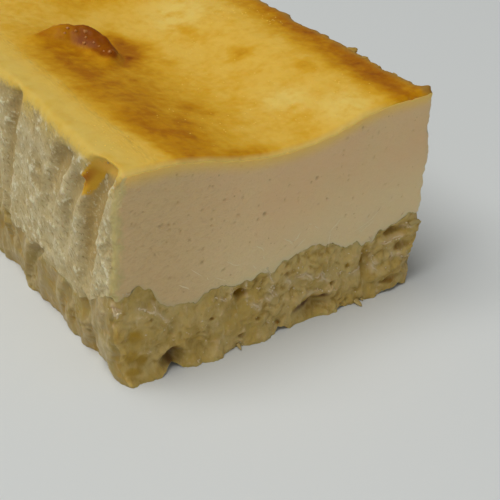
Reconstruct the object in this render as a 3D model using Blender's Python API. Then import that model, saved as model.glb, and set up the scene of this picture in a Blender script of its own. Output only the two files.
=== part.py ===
"""Sweet potato cheesecake: half of a loaf, baked in a paper-lined tin and cut across.

Two layers lie on each other. The lower one is coarse mashed sweet potato, and the upper one is
smooth baked cheese custard with a browned top. The front, at -Y, is the knife's cut. The other
three sides lay against creased baking paper, which left valleys in them.
"""

import random

import bmesh
import bpy
import numpy as np

MM = 0.001

# Driving dimensions of the loaf. The origin is on the plate, below the middle of the block.
WIDTH = 80 * MM  # along X, across the cut
LENGTH = 100 * MM  # along Y, from the cut to the tin's end
HEIGHT = 51 * MM  # the rim of the top, above the plate
BASE_HEIGHT = 15.4 * MM  # the mash below the custard, between its lumps
LAYER_GAP = 0.3 * MM  # clear space between the two layers' faces

# Outline and top.
CORNER_RADIUS = 11 * MM  # the two upright corners at the tin's end
EDGE_RADIUS = 1.6 * MM  # the top edge above the paper sides
SIDE_BULGE = 1.7 * MM  # how far the paper sides swell at a third of their height
SAG_DEPTH = 4.7 * MM  # the hollow along the middle of the top
SAG_HALF_WIDTH = 31 * MM
END_RIM = 34 * MM  # over this length the hollow fades out towards the tin's end
TOP_WAVES = 0.35 * MM  # broad waves of the top
TOP_WAVE_SIZE = 12 * MM
UNEVEN = 0.6 * MM  # bumps of the paper sides
UNEVEN_SIZE = 7 * MM
REACH = 13 * MM  # a side's relief moves the points of the faces next to it this far in

# Lumps and dips of the mash's upper face at the cut: place along X, height, half width.
CUT_LUMPS = (
    (-40 * MM, 6 * MM, 7.5 * MM),
    (-34 * MM, 7 * MM, 6 * MM),
    (-15.5 * MM, 0.9 * MM, 6 * MM),
    (9.5 * MM, 3.9 * MM, 12.8 * MM),
    (26 * MM, -1.2 * MM, 5.3 * MM),
    (37.5 * MM, 3.3 * MM, 9 * MM),
)
LUMP_DEPTH = 15 * MM  # how far these lumps run back from the cut
INNER_LUMPS = 2.6 * MM  # height of the lumps elsewhere, up and down
INNER_LUMP_SIZE = 15 * MM
SMALL_LUMPS = 0.5 * MM  # smaller lumps on all of it
SMALL_LUMP_SIZE = 4 * MM

# The blister: a crescent of custard that puffed up and browned.
BLISTER_CENTRE = (-19.5 * MM, 60 * MM)  # along X, and behind the cut
BLISTER_RADIUS = 9.5 * MM  # to its crest
BLISTER_HEIGHT = 4.8 * MM
BLISTER_SLOPE = 3.6 * MM  # width of its steep outer side
BLISTER_TURN = 2.0  # radians from its tallest part to each end of the crescent
BLISTER_FACING = 0.62  # radians, the way its tallest part faces, from +X towards +Y

# Relief of the mash at the cut.
FOOT_BULGE = 1.7 * MM  # how far the mash's foot stands in front of the cut
CRAG_HEIGHT = 1.3 * MM
CRAG_SIZE = 5.5 * MM
CRAG_START = 3.5 * MM  # this far below the custard the relief has its full height
HOLLOW_BLEND = 1.3  # a hollow fades out at this many times its half width and half height
# Hollows torn in the cut mash: place along X, height, half width, half height, depth.
CUT_HOLLOWS = (
    (-27 * MM, 2.6 * MM, 3.2 * MM, 3.6 * MM, 2.4 * MM),
    (-10 * MM, 13.2 * MM, 1.9 * MM, 1.9 * MM, 1.6 * MM),
    (11.5 * MM, 3.2 * MM, 6.2 * MM, 2.8 * MM, 2.2 * MM),
    (26.5 * MM, 8 * MM, 1.7 * MM, 6.5 * MM, 1.5 * MM),
    (36 * MM, 12 * MM, 3.2 * MM, 1.8 * MM, 1.3 * MM),
)

# The flake of mash that stands out of the right side at the cut: height, half height, reach.
FLAKE_PLACE = 15.8 * MM
FLAKE_HALF_HEIGHT = 3 * MM
FLAKE_REACH = 0.5 * MM
FLAKE_LENGTH = 7 * MM  # how far it runs back from the cut

# Valleys that the paper's creases left. Each is where it starts, along the paper sides from the
# front left corner, how far it leans along by its foot, its top, its foot, half width and depth.
SEEN_VALLEYS = (
    (3.9 * MM, 8.8 * MM, 51.8 * MM, 17 * MM, 5.9 * MM, 4 * MM),
    (12.5 * MM, 9.5 * MM, 45 * MM, 20 * MM, 3.6 * MM, 1.7 * MM),
    (17.5 * MM, 12 * MM, 48.5 * MM, 26 * MM, 5 * MM, 2.2 * MM),
    (13.5 * MM, -2.5 * MM, 17 * MM, -3 * MM, 3.2 * MM, 1.5 * MM),
    (21.5 * MM, -3 * MM, 15 * MM, -4 * MM, 3 * MM, 1.1 * MM),
)
VALLEY_START = 3.2 * MM  # this far below its top a valley has its full depth
VALLEY_FLOOR = 0.25  # of its half width, as deep as the middle
# Random valleys run round the rest of the sides. Each value is drawn between two limits.
FIRST_DRAWN_VALLEY = 31 * MM
VALLEY_SPACING = (8 * MM, 13 * MM)
VALLEY_LEAN = (4 * MM, 12 * MM)
VALLEY_TOPS = (51.5 * MM, 51.5 * MM, 40 * MM, 18 * MM)  # one of these is drawn
VALLEY_LOWEST = -6 * MM
VALLEY_FOOT_SHARE = 0.45  # of the valley's top, at most
VALLEY_HALF_WIDTH = (3.2 * MM, 5.5 * MM)
VALLEY_DEPTH = (1.4 * MM, 3.2 * MM)
PAPER_SIDES = 2 * LENGTH + WIDTH  # length of the three paper sides together
CALM_SIDE = LENGTH + WIDTH  # from here on, on the right side, the creases are shallower
CALM = 0.45
PLAIN_END = 12 * MM  # no valley starts this near the cut on the right side
CUT_FLARE = 0.9 * MM  # how far the right side leans out at the cut
CUT_FLARE_LENGTH = 18 * MM

# Seeds of the fixed random patterns.
UNEVEN_SEED = 3
INNER_LUMP_SEED = 5
SMALL_LUMP_SEED = 9
VALLEY_SEED = 11
TOP_WAVE_SEED = 14
CRAG_SEED = 21

# Spacing of the grid that each layer's faces are cut into.
GRID_X = 2.5 * MM
GRID_Y = 3 * MM
CUSTARD_ROWS = 10
MASH_ROWS = 7
EDGE_CUT = 1.1 * MM  # an extra cut this close to the paper sides holds the rounded edge


def eased(t):
    """0 below 0, 1 above 1, and a smooth S between them."""
    t = np.clip(t, 0, 1)
    return t * t * (3 - 2 * t)


def hump(distance, half_width):
    """1 in the middle, falling smoothly to 0 at half_width."""
    return 1 - eased(np.abs(distance) / half_width)


def corner_values(index, seed):
    """A fixed random value from -1 to 1 for each whole-number corner of a lattice."""
    mixed = index[0] * 73856093 ^ index[1] * 19349663 ^ index[2] * 83492791 ^ seed * 40503
    mixed = ((mixed & 0xFFFFFFFF) ^ (mixed >> 13 & 0x7FFFF)) * 1274126177 & 0xFFFFFFFF
    return (mixed ^ mixed >> 16) / 2**31 - 1


def noise(x, y, z, cell, seed):
    """Smooth noise from -1 to 1: lattice values, a cell apart, eased into each other."""
    scaled = np.stack(np.broadcast_arrays(x, y, z)) / cell
    low = np.floor(scaled).astype(np.int64)
    part = eased(scaled - low)
    total = 0
    for corner in np.ndindex(2, 2, 2):
        side = np.reshape(corner, (3,) + (1,) * (low.ndim - 1))
        weight = np.where(side == 1, part, 1 - part).prod(axis=0)
        total = total + weight * corner_values(low + side, seed)
    return total


def crumbly(x, y, z, cell, seed):
    """Noise with a finer noise on it, half as high and half as wide."""
    return (noise(x, y, z, cell, seed) + 0.5 * noise(x, y, z, cell / 2, seed + 1)) / 1.5


def valleys():
    """The valleys that show, then random ones round the rest of the paper sides."""
    found = list(SEEN_VALLEYS)
    draw = random.Random(VALLEY_SEED)
    start = FIRST_DRAWN_VALLEY
    while start < PAPER_SIDES - PLAIN_END:
        lean = draw.choice((-1, 1)) * draw.uniform(*VALLEY_LEAN)
        top = draw.choice(VALLEY_TOPS)
        foot = draw.uniform(VALLEY_LOWEST, VALLEY_FOOT_SHARE * top)
        calm = CALM if start > CALM_SIDE else 1
        depth = calm * draw.uniform(*VALLEY_DEPTH)
        half_width = draw.uniform(*VALLEY_HALF_WIDTH)
        found.append((start, lean, top, foot, half_width, depth))
        start += draw.uniform(*VALLEY_SPACING)
    return found


VALLEYS = valleys()


def valley_depth(along, z):
    """How deep the paper pressed in, at a place along the paper sides and a height."""
    deepest = 0
    for start, lean, top, foot, half_width, depth in VALLEYS:
        down = np.clip((top - z) / (top - foot), 0, 1)
        floor = VALLEY_FLOOR * half_width
        aside = np.maximum(np.abs(along - start - lean * np.sqrt(down)) - floor, 0)
        wide = half_width * (1 - 0.4 * down) - floor
        fade = (1 - down) ** 0.6 * eased((top - z) / VALLEY_START)
        deepest = np.maximum(deepest, depth * fade * hump(aside, wide))
    return deepest


def side_push(along, z):
    """Outward push of a paper side: swollen low down, creased, uneven, and flared at the cut."""
    swell = SIDE_BULGE * np.sin(np.pi * np.clip(z / HEIGHT, 0, 1) ** 0.7)
    uneven = UNEVEN * noise(along, 0 * along, z, UNEVEN_SIZE, UNEVEN_SEED)
    flare = CUT_FLARE * hump(PAPER_SIDES - along, CUT_FLARE_LENGTH)
    return swell - valley_depth(along, z) + uneven + flare


def mash_cut_push(x, z, interface):
    """Forward push of the cut mash: a foot that stands out, crags, and torn hollows."""
    below = eased((interface - z) / CRAG_START)
    push = FOOT_BULGE * (1 - np.clip(z / interface, 0, 1)) ** 0.7
    push = push + CRAG_HEIGHT * crumbly(x, 0 * x, z, CRAG_SIZE, CRAG_SEED)
    for middle, height, half_width, half_height, depth in CUT_HOLLOWS:
        reach = np.hypot((x - middle) / half_width, (z - height) / half_height)
        push = push - depth * hump(reach, HOLLOW_BLEND)
    return below * push


def flake_push(front, z):
    """Outward push of the right side where the flake of mash stands out."""
    rise = hump(z - FLAKE_PLACE, FLAKE_HALF_HEIGHT)
    return FLAKE_REACH * rise * hump(front, FLAKE_LENGTH)


def interface_height(x, y):
    """Height of the face between mash and custard: lumps at the cut, softer lumps inside."""
    behind = y + LENGTH / 2
    at_cut = hump(behind, LUMP_DEPTH)
    inner = INNER_LUMPS * crumbly(x, y, 0 * x, INNER_LUMP_SIZE, INNER_LUMP_SEED)
    height = BASE_HEIGHT + (1 - at_cut) * inner
    for middle, rise, half_width in CUT_LUMPS:
        height = height + at_cut * rise * hump(x - middle, half_width)
    return height + SMALL_LUMPS * noise(x, y, 0 * x, SMALL_LUMP_SIZE, SMALL_LUMP_SEED)


def blister_rise(x, y):
    """A crescent: gentle inside its crest, steep outside, and tallest where it faces."""
    dx = x - BLISTER_CENTRE[0]
    dy = y + LENGTH / 2 - BLISTER_CENTRE[1]
    radius = np.hypot(dx, dy)
    turn = np.arctan2(dy, dx) - BLISTER_FACING
    turn = np.arctan2(np.sin(turn), np.cos(turn))
    inside = eased(radius / BLISTER_RADIUS) ** 1.5
    outside = hump(np.maximum(radius - BLISTER_RADIUS, 0), BLISTER_SLOPE)
    return BLISTER_HEIGHT * inside * outside * hump(turn, BLISTER_TURN)


def top_height(x, y):
    """Height of the top: a rim round a long hollow, with the blister on it."""
    hollow = np.cos(np.pi / 2 * np.clip(x / SAG_HALF_WIDTH, -1, 1)) ** 2
    to_end = eased((LENGTH / 2 - y) / END_RIM)
    wavy = TOP_WAVES * noise(x, y, 0 * x, TOP_WAVE_SIZE, TOP_WAVE_SEED)
    return HEIGHT - SAG_DEPTH * hollow * to_end + blister_rise(x, y) + wavy


def rounded_drop(distance):
    """How far a top edge of EDGE_RADIUS has dropped at this distance in from the side."""
    short = EDGE_RADIUS - np.clip(distance, 0, EDGE_RADIUS)
    return EDGE_RADIUS - np.sqrt(EDGE_RADIUS**2 - short**2)


def round_far_corners(x, y):
    """The plan with the two corners at the tin's end drawn in from square to round."""
    straight_x, straight_y = WIDTH / 2 - CORNER_RADIUS, LENGTH / 2 - CORNER_RADIUS
    across = np.clip((np.abs(x) - straight_x) / CORNER_RADIUS, 0, 1)
    along = np.clip((y - straight_y) / CORNER_RADIUS, 0, 1)
    round_x = np.minimum(np.abs(x), straight_x) + CORNER_RADIUS * across * np.sqrt(1 - along**2 / 2)
    round_y = np.minimum(y, straight_y) + CORNER_RADIUS * along * np.sqrt(1 - across**2 / 2)
    return np.sign(x) * round_x, round_y


def shaped(points, is_mash):
    """Takes the block's points, whose z runs from 0 to 1 through the layer, to the layer."""
    block_x, block_y, up = points
    left = block_x + WIDTH / 2
    right = WIDTH / 2 - block_x
    back = LENGTH / 2 - block_y
    front = block_y + LENGTH / 2
    x, y = round_far_corners(block_x, block_y)
    interface = interface_height(x, y)
    if is_mash:
        z = up * interface
        forward = mash_cut_push(x, z, interface)
        flake = flake_push(front, z)
        gap = -up * LAYER_GAP / 2
    else:
        top = top_height(x, y) - rounded_drop(np.minimum(np.minimum(left, right), back))
        z = interface + up * (top - interface)
        forward = flake = 0
        gap = (1 - up) * LAYER_GAP / 2
    x = x - side_push(front, z) * hump(left, REACH)
    x = x + (side_push(LENGTH + WIDTH + back, z) + flake) * hump(right, REACH)
    y = y + side_push(LENGTH + left, z) * hump(back, REACH)
    y = y - forward * hump(front, REACH)
    return np.stack((x, y, z + gap))


def even_cuts(length, spacing):
    """Evenly spaced places between the two ends of a centred length."""
    count = round(length / spacing)
    return [length * (i / count - 0.5) for i in range(1, count)]


def cut_block(rows):
    """A cube with the loaf's plan, one unit high, cut into a grid by planes."""
    grid = bmesh.new()
    bmesh.ops.create_cube(grid, size=1)
    bmesh.ops.scale(grid, vec=(WIDTH, LENGTH, 1), verts=grid.verts)
    bmesh.ops.translate(grid, vec=(0, 0, 0.5), verts=grid.verts)
    near_side = WIDTH / 2 - EDGE_CUT
    cuts = (
        even_cuts(WIDTH, GRID_X) + [-near_side, near_side],
        even_cuts(LENGTH, GRID_Y) + [LENGTH / 2 - EDGE_CUT],
        [i / rows for i in range(1, rows)],
    )
    for axis, places in enumerate(cuts):
        normal = np.eye(3)[axis]
        for place in places:
            everything = grid.verts[:] + grid.edges[:] + grid.faces[:]
            bmesh.ops.bisect_plane(
                grid, geom=everything, dist=1e-7, plane_co=place * normal, plane_no=normal
            )
    return grid


def make_flat_below(grid):
    """Joins the faces that rest on the plate into one."""
    resting = [f for f in grid.faces if all(v.co.z < 1e-6 for v in f.verts)]
    bmesh.ops.dissolve_faces(grid, faces=resting)


def plain_material(name, colour, roughness):
    material = bpy.data.materials.new(name)
    material.use_nodes = True
    shader = material.node_tree.nodes["Principled BSDF"]
    shader.inputs["Base Color"].default_value = (*colour, 1)
    shader.inputs["Roughness"].default_value = roughness
    shader.inputs["Metallic"].default_value = 0
    return material


def make_layer(name, rows, is_mash, material, collection):
    """One layer: the cut block with every point moved to its place."""
    grid = cut_block(rows)
    points = np.array([v.co for v in grid.verts]).T
    for vert, place in zip(grid.verts, shaped(points, is_mash).T):
        vert.co = place
    if is_mash:
        make_flat_below(grid)
    mesh = bpy.data.meshes.new(name)
    grid.to_mesh(mesh)
    grid.free()
    mesh.materials.append(material)
    mesh.shade_smooth()
    mesh.set_sharp_from_angle(angle=0.7)
    layer = bpy.data.objects.new(name, mesh)
    collection.objects.link(layer)
    # Both layers split the face between them along the same diagonals, so they can't cross.
    split = layer.modifiers.new("split", "TRIANGULATE")
    split.quad_method = "SHORTEST_DIAGONAL"
    return layer


def main():
    for old in list(bpy.data.objects):
        bpy.data.objects.remove(old)
    collection = bpy.data.collections.new("sweet_potato_cheesecake")
    bpy.context.scene.collection.children.link(collection)
    mash = plain_material("mashed_sweet_potato", (0.50, 0.37, 0.15), 0.6)
    custard = plain_material("baked_cheese_custard", (0.80, 0.62, 0.33), 0.45)
    make_layer("sweet_potato_base", MASH_ROWS, True, mash, collection)
    make_layer("cheese_custard", CUSTARD_ROWS, False, custard, collection)


main()
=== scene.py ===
"""Sweet potato cheesecake: the looks of a cut half loaf, built round its two solids.

The shapes are worked out in millimetres, as functions of a place on the block, and go into the
meshes in metres. The front, at -Y, is the knife's cut, and the other sides lay against paper.
"""

import math
import random

import bpy
import numpy as np
from bpy.props import FloatProperty, FloatVectorProperty, IntProperty, PointerProperty
from mathutils import Matrix, Vector


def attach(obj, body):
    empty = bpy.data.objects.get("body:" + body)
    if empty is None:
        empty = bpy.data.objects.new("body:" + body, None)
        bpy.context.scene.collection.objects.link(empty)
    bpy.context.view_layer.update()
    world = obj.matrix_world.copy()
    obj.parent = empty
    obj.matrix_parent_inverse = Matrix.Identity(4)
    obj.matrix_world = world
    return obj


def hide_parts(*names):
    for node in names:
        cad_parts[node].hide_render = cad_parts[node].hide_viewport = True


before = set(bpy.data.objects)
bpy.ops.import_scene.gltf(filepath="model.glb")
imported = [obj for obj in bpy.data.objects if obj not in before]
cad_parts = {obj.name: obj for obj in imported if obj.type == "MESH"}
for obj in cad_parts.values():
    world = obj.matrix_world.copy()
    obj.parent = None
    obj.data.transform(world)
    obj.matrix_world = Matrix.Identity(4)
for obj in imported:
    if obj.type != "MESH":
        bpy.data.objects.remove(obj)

bl_info = {
    "name": "Sweet potato cheesecake",
    "version": (1, 0, 0),
    "blender": (4, 5, 0),
    "location": "3D view > Sidebar > Cheesecake",
    "description": "Makes a cut half loaf of baked cheesecake on a base of mashed sweet potato",
    "category": "Add Mesh",
}

MM = 0.001  # a millimetre in metres

# ---- The loaf, in millimetres, as its solids have it ----
WIDTH = 80  # along X, across the cut
LENGTH = 100  # along Y, from the cut to the tin's end
HEIGHT = 51  # the rim of the top
BASE_HEIGHT = 15.4  # the mash below the custard, between its lumps
CORNER_RADIUS = 11  # the two upright corners at the tin's end
EDGE_RADIUS = 1.6  # the top edge above the paper sides
SIDE_BULGE = 1.7  # how far the paper sides swell at a third of their height
SAG_DEPTH = 4.7  # the hollow along the middle of the top
SAG_HALF_WIDTH = 31
END_RIM = 34  # over this length the hollow fades out towards the tin's end
TOP_WAVES = 0.35  # broad waves of the top
TOP_WAVE_SIZE = 12
UNEVEN = 0.6  # broad bumps of the paper sides
UNEVEN_SIZE = 7
REACH = 13  # a side's relief moves the points of the faces next to it this far in

# Lumps and dips of the mash's upper face at the cut: place along X, height, half width.
CUT_LUMPS = (
    (-40, 6, 7.5), (-34, 7, 6), (-15.5, 0.9, 6), (9.5, 3.9, 12.8), (26, -1.2, 5.3), (37.5, 3.3, 9),
)
LUMP_DEPTH = 15  # how far these lumps run back from the cut
INNER_LUMPS = 2.6  # height of the lumps elsewhere, up and down
INNER_LUMP_SIZE = 15
SMALL_LUMPS = 0.5  # smaller lumps on all of it
SMALL_LUMP_SIZE = 4

# The blister: a crescent of custard that puffed up and browned.
BLISTER_CENTRE = (-19.5, 60)  # along X, and behind the cut
BLISTER_RADIUS = 9.5  # to its crest
BLISTER_HEIGHT = 4.8
BLISTER_SLOPE = 3.6  # width of its steep outer side
BLISTER_TURN = 2.0  # radians from its tallest part to each end of the crescent
BLISTER_FACING = 0.62  # radians, the way its tallest part faces, from +X towards +Y

# Relief of the mash at the cut.
FOOT_BULGE = 1.7  # how far the mash's foot stands in front of the cut
CRAG_HEIGHT = 1.3
CRAG_SIZE = 5.5
CRAG_START = 3.5  # this far below the custard the relief has its full height
HOLLOW_BLEND = 1.3  # a hollow fades out at this many times its half width and half height
# Hollows torn in the cut mash: place along X, height, half width, half height, depth.
CUT_HOLLOWS = (
    (-27, 2.6, 3.2, 3.6, 2.4), (-10, 13.2, 1.9, 1.9, 1.6), (11.5, 3.2, 6.2, 2.8, 2.2),
    (26.5, 8, 1.7, 6.5, 1.5), (36, 12, 3.2, 1.8, 1.3),
)
# The flake of mash that stands out of the right side at the cut: height, half height, reach.
FLAKE_PLACE = 15.8
FLAKE_HALF_HEIGHT = 3
FLAKE_REACH = 0.5
FLAKE_LENGTH = 7  # how far it runs back from the cut

CUT_ROLL = 1.5  # over this length the top rolls over into the cut
# The upright corners at the cut, worn by the knife and the paper.
CUSTARD_CUT_RADIUS = 1.8
MASH_CUT_RADIUS = 2.4

# Valleys that the paper's creases left. Each is where it starts, along the paper sides from the
# front left corner, how far it leans along by its foot, its top, its foot, half width and depth.
SEEN_VALLEYS = (
    (3.9, 8.8, 51.8, 17, 5.9, 4), (12.5, 9.5, 45, 20, 3.6, 1.7), (17.5, 12, 48.5, 26, 5, 2.2),
    (13.5, -2.5, 17, -3, 3.2, 1.5), (21.5, -3, 15, -4, 3, 1.1),
)
VALLEY_START = 3.2  # this far below its top a valley has its full depth
VALLEY_FLOOR = 0.25  # of its half width, as deep as the middle
# Random valleys run round the rest of the sides. Each value is drawn between two limits.
FIRST_DRAWN_VALLEY = 31
VALLEY_SPACING = (8, 13)
VALLEY_LEAN = (4, 12)
VALLEY_TOPS = (51.5, 51.5, 40, 18)  # one of these is drawn
VALLEY_LOWEST = -6
VALLEY_FOOT_SHARE = 0.45  # of the valley's top, at most
VALLEY_HALF_WIDTH = (3.2, 5.5)
VALLEY_DEPTH = (1.4, 3.2)
PAPER_SIDES = 2 * LENGTH + WIDTH  # length of the three paper sides together
CALM_SIDE = LENGTH + WIDTH  # from here on, on the right side, the creases are shallower
CALM = 0.45
PLAIN_END = 12  # no valley starts this near the cut on the right side
CUT_FLARE = 0.9  # how far the right side leans out at the cut
CUT_FLARE_LENGTH = 18

# Seeds of the fixed random patterns that the solids have too.
UNEVEN_SEED = 3
INNER_LUMP_SEED = 5
SMALL_LUMP_SEED = 9
VALLEY_SEED = 11
TOP_WAVE_SEED = 14
CRAG_SEED = 21
# Seeds of what is drawn for the looks alone.
PORE_SEED = 5
SHRED_SEED = 23
CRUMB_SEED = 31

# ---- Where the top browned: along X, behind the cut, half widths along both, strength ----
BROWN_PATCHES = (
    # The band that starts beside the pale strip.
    (-21, 8, 15, 27, 0.42), (-21, 34, 15, 30, 0.42), (-21, 58, 14, 22, 0.42),
    (-6, 32, 15, 26, 0.17),
    # Darker spots in it and beside it.
    (-18, 11.5, 6, 4, 0.2), (-24.3, 20.5, 5, 5, 0.2), (-24, 14.5, 4.4, 4, 0.2),
    (-14.8, 17.7, 4, 3.4, 0.18), (-19.8, 29.3, 5, 4, 0.14), (-23.6, 1.8, 4, 3, 0.2),
    (-18, 1.4, 3.6, 3, 0.2), (-8.6, 1.6, 8, 3.6, 0.36), (-8.2, 26, 3.2, 3.6, 0.28),
    (-5.6, 22, 3, 2, 0.2), (-12.3, 42.5, 3.4, 3, 0.3), (-4.8, 46.8, 4, 2.2, 0.2),
    (1, 50.2, 3.6, 3, 0.2), (-23.2, 52.7, 3.6, 7, 0.36), (-22.6, 43.5, 4, 9, 0.24),
    (16.6, 42, 4.6, 4.6, 0.28), (13.8, 59.5, 3.6, 8, 0.16), (24.4, 26, 3.4, 5, 0.24),
    (11, 8.6, 4.6, 3, 0.14), (6.8, 3.6, 5, 3, 0.12),
    # The band along the right rim.
    (34, 8, 6.6, 20, 0.58), (34, 20, 6, 12, 0.38), (37.6, 42, 5.4, 14, 0.45),
    (36.5, 32, 8.4, 65, 0.48), (39, 60, 7.5, 18, 0.34),
    # The stain beside the blister.
    (-6.2, 57.8, 6.5, 9, 0.72), (-8.4, 53.4, 3.8, 7, 0.3), (-3, 62, 7.5, 7, 0.5),
    # Behind it, and fainter ones.
    (-3, 67.5, 4.6, 8, 0.62), (-19, 66, 7, 8, 0.3), (31.5, 38, 4, 14, 0.16), (-14, 57, 9, 12, 0.2),
    (2, 89, 22, 8, 0.3),
)
# Where the top stayed light: along X, behind the cut, and half widths along both.
LIGHT_PATCHES = (
    (20, 6, 9, 9), (17, 71, 13, 13), (12, 18, 8, 8),
)
KNOB = (39.6, 1.6, 3)  # burnt corner at the cut: along X, behind the cut, and radius
KNOB_RISE = 0.9
KNOB_SIDE = (1.2, 0.4, 2.4, 0.8)  # on the right: behind the cut, below the rim, radius, push
# By the cut the right side swells: height, half height, length along the side, and how far.
RIGHT_SWELL = (37, 15, 12, 0.7)
PALE_EDGE = -27.6  # left of here the paper lay on the top and kept it pale
PALE_EDGE_SHIFT = 4.8  # how far that edge moves to the left further back
PALE_STRIP = 13.5  # width of the pale strip along the left side
PAPER_LINES = (-31.5, 5)  # along X and half width, where the paper left fine lines in it
RIM_BAND = 4.6  # width of the olive brown band along the right rim
END_BAND = 7.5  # width of the browned band along the tin's end

# The browned fold in the first valley: its crest along the sides at the rim, and how far that
# moves on for each mm further down. Its foot: a place along the sides, the height there, how much
# it falls for each mm along, and its lowest and highest. Then its brown part, and its yellow upper
# part, made lighter with painted light where the valley shades it.
FLAP_CREST = (9.8, 0.62)
FLAP_FOOT = (9.6, 45.2, 2.2)
FLAP_FLOOR = (38.8, 45.6)
FLAP_BROWN = (43, 7)  # height and half height
# Where the fold's upper part gets painted light, lighter than its own yellow, in the valley's
# shade.
FOLD_TOP_LIT = (7.6, 6, 44.5)  # along the sides, half width, and the height where it starts
VALLEY_WORN = 2.5  # a valley this deep kept the skin smooth
FIBRE_TOP = 36  # the skin is torn in fibres below this height, and in crumbs above
DARKEST = 0.72  # how far the flat top browns at most, short of the blister's dark brown

# Patches of the skin where crumbs tore out: along the paper sides, height, and half widths.
TORN_PATCHES = (
    (17, 46, 6, 4.6), (25, 44, 5, 5), (12.5, 36, 2.4, 7), (2, 30, 2.4, 12),
)

# ---- The torn cut of the mash: places along X and heights ----
# Pits, darkened inside partly as painted shade: place along X, height, half width, half height,
# depth.
PITS = (
    (-9.3, 12.7, 1.7, 1.2, 1.5), (-17.7, 9.9, 0.9, 0.5, 0.7), (-32.8, 15.1, 0.9, 0.7, 0.5),
    (-5.5, 5.7, 1.1, 0.5, 0.6), (-10, 2.9, 1.2, 0.8, 0.6), (-37.4, 12, 1.2, 0.5, 0.4),
    (0.5, 2.2, 1.2, 0.7, 0.7), (3, 14.3, 1.4, 0.9, 0.5), (16.2, 7.5, 1.2, 0.7, 0.9),
    (20.6, 11, 0.9, 1, 0.7), (26.2, 9.6, 0.7, 3.4, 0.8), (29.6, 17.3, 1.7, 0.9, 1.1),
    (33.5, 16, 3.2, 1.4, 1.3), (36.2, 11.2, 1.9, 1.1, 1), (33.5, 3, 3.8, 0.9, 1),
    (18.5, 1.6, 1.4, 0.6, 0.6),
)
# Tufts and dips in the mash's upper edge at the cut: place along X, rise, half width.
EDGE_TUFTS = (
    (-40.6, 1.9, 2), (-36.3, -1, 1.3), (-34.4, 0.3, 1), (-32.1, 1.3, 1.3), (-28.8, 0.5, 1.8),
    (-21.3, -0.9, 2.4), (-17, 0.7, 1.6), (-4.6, 1.5, 3.2), (1, 1, 2), (13.8, -0.7, 2),
    (23, 1.2, 2.6), (26.5, 1.1, 2.2), (29.6, 1.4, 1.8), (36.6, 0.9, 1.8),
)
# Notches in the lower edge: place along X, half widths to the left and right, height.
NOTCHES = (
    (-28.2, 2.8, 3.2, 1.5), (0.8, 1.2, 2.2, 1.2), (18.6, 1.2, 1.5, 0.8), (34.5, 4.5, 4, 1.3),
)
NOTCH_REACH = 3.6  # how far the notches run in from the cut
# The foot is torn away at one place: along X, height, half widths along both, and depth.
TORN_FOOT = (-28, 2.4, 3.6, 3.8, 2.2)
FOOT_LIP = (0.8, 4, 33)  # it stands out: how far, up to which height and which place along X
FOOT_TUCK = (11, 1, 8, 1.4)  # on the left it is drawn in: along, height, half widths, depth
TUFT_LENGTH = 5  # how far the tufts run back from the cut
# Brown peel in the mash: place along X, height, half width, half height.
PEEL = (
    (8.6, 3.6, 4.4, 1.2), (13.6, 4.3, 3.4, 1.2), (-27.4, 3.6, 3, 2.6),
)
# Moist orange flesh: place along X, height, half width, half height.
ORANGE = (
    (-37.6, 7, 2, 3), (-36.8, 12, 2.6, 2.4), (-35.2, 5.6, 1.8, 2.6), (-37, 3, 2.4, 1.6),
    (-9.3, 12.8, 1.3, 1), (20, 11.2, 1, 1.2),
)

# Soft pale lumps in the torn mash: place along X, height, half width, half height.
PALE_LUMPS = (
    (-5.4, 9, 1.6, 1.2), (-1.9, 9.5, 1.5, 1.1), (4.4, 11.2, 1.8, 1.2), (8.4, 12, 2.6, 1.3),
    (13.4, 10, 2.2, 1.4), (9, 6.6, 5, 1.2), (22.5, 8, 2, 1.1), (28.4, 7.6, 1, 2),
    (34.5, 9.4, 1.2, 1.4), (35, 14.2, 3, 0.9), (40.5, 6.8, 1.4, 0.8),
)

# Pale shreds on the torn mash: from a place along X and a height to another, and half width.
SEEN_SHREDS = (
    (-36, 18.7, -33.6, 17.6, 0.3), (-34, 17.6, -31.6, 16.8, 0.4), (-32, 18.6, -31.7, 16.2, 0.3),
    (-31.6, 16.6, -29.6, 14.2, 0.3), (-29.8, 14.3, -27.9, 12.4, 0.3),
    (-38.8, 22.9, -37, 23.3, 0.2), (-41.4, 21.2, -40.6, 18.2, 0.5), (-41.2, 20, -39.8, 19.4, 0.3),
    (-15.8, 14.2, -13.8, 13, 0.22), (-12.3, 15.8, -12.5, 13, 0.2), (-8.3, 15.6, -8, 11, 0.16),
    (-3, 17.8, -1.2, 13.4, 0.28), (-6.9, 9.8, -5, 8.2, 0.5), (-3.2, 10.2, -2, 9.2, 0.4),
    (-2.4, 12, 0.6, 9.2, 0.24), (2.8, 12.6, 4.2, 10.6, 0.55), (5.8, 12.4, 8, 13.2, 0.5),
    (7.8, 13.2, 9.8, 11, 0.5), (10.6, 11, 12.4, 11.8, 0.5), (12.2, 11.8, 14.6, 9, 0.45),
    (21.6, 8.6, 24.2, 9, 0.42), (26.8, 16.6, 28.2, 14.9, 0.3), (28.6, 10.6, 29.8, 8.4, 0.4),
    (28.2, 8.6, 29.4, 7, 0.34), (30.8, 13.8, 34, 14.2, 0.42), (33.6, 14.1, 36.8, 14.4, 0.36),
    (33.8, 10.6, 34.2, 8.6, 0.34), (36.8, 8.8, 37.8, 7.8, 0.26), (38.8, 7.9, 40.8, 7.3, 0.36),
    (38, 16.4, 40, 15.8, 0.26),
)
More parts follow.
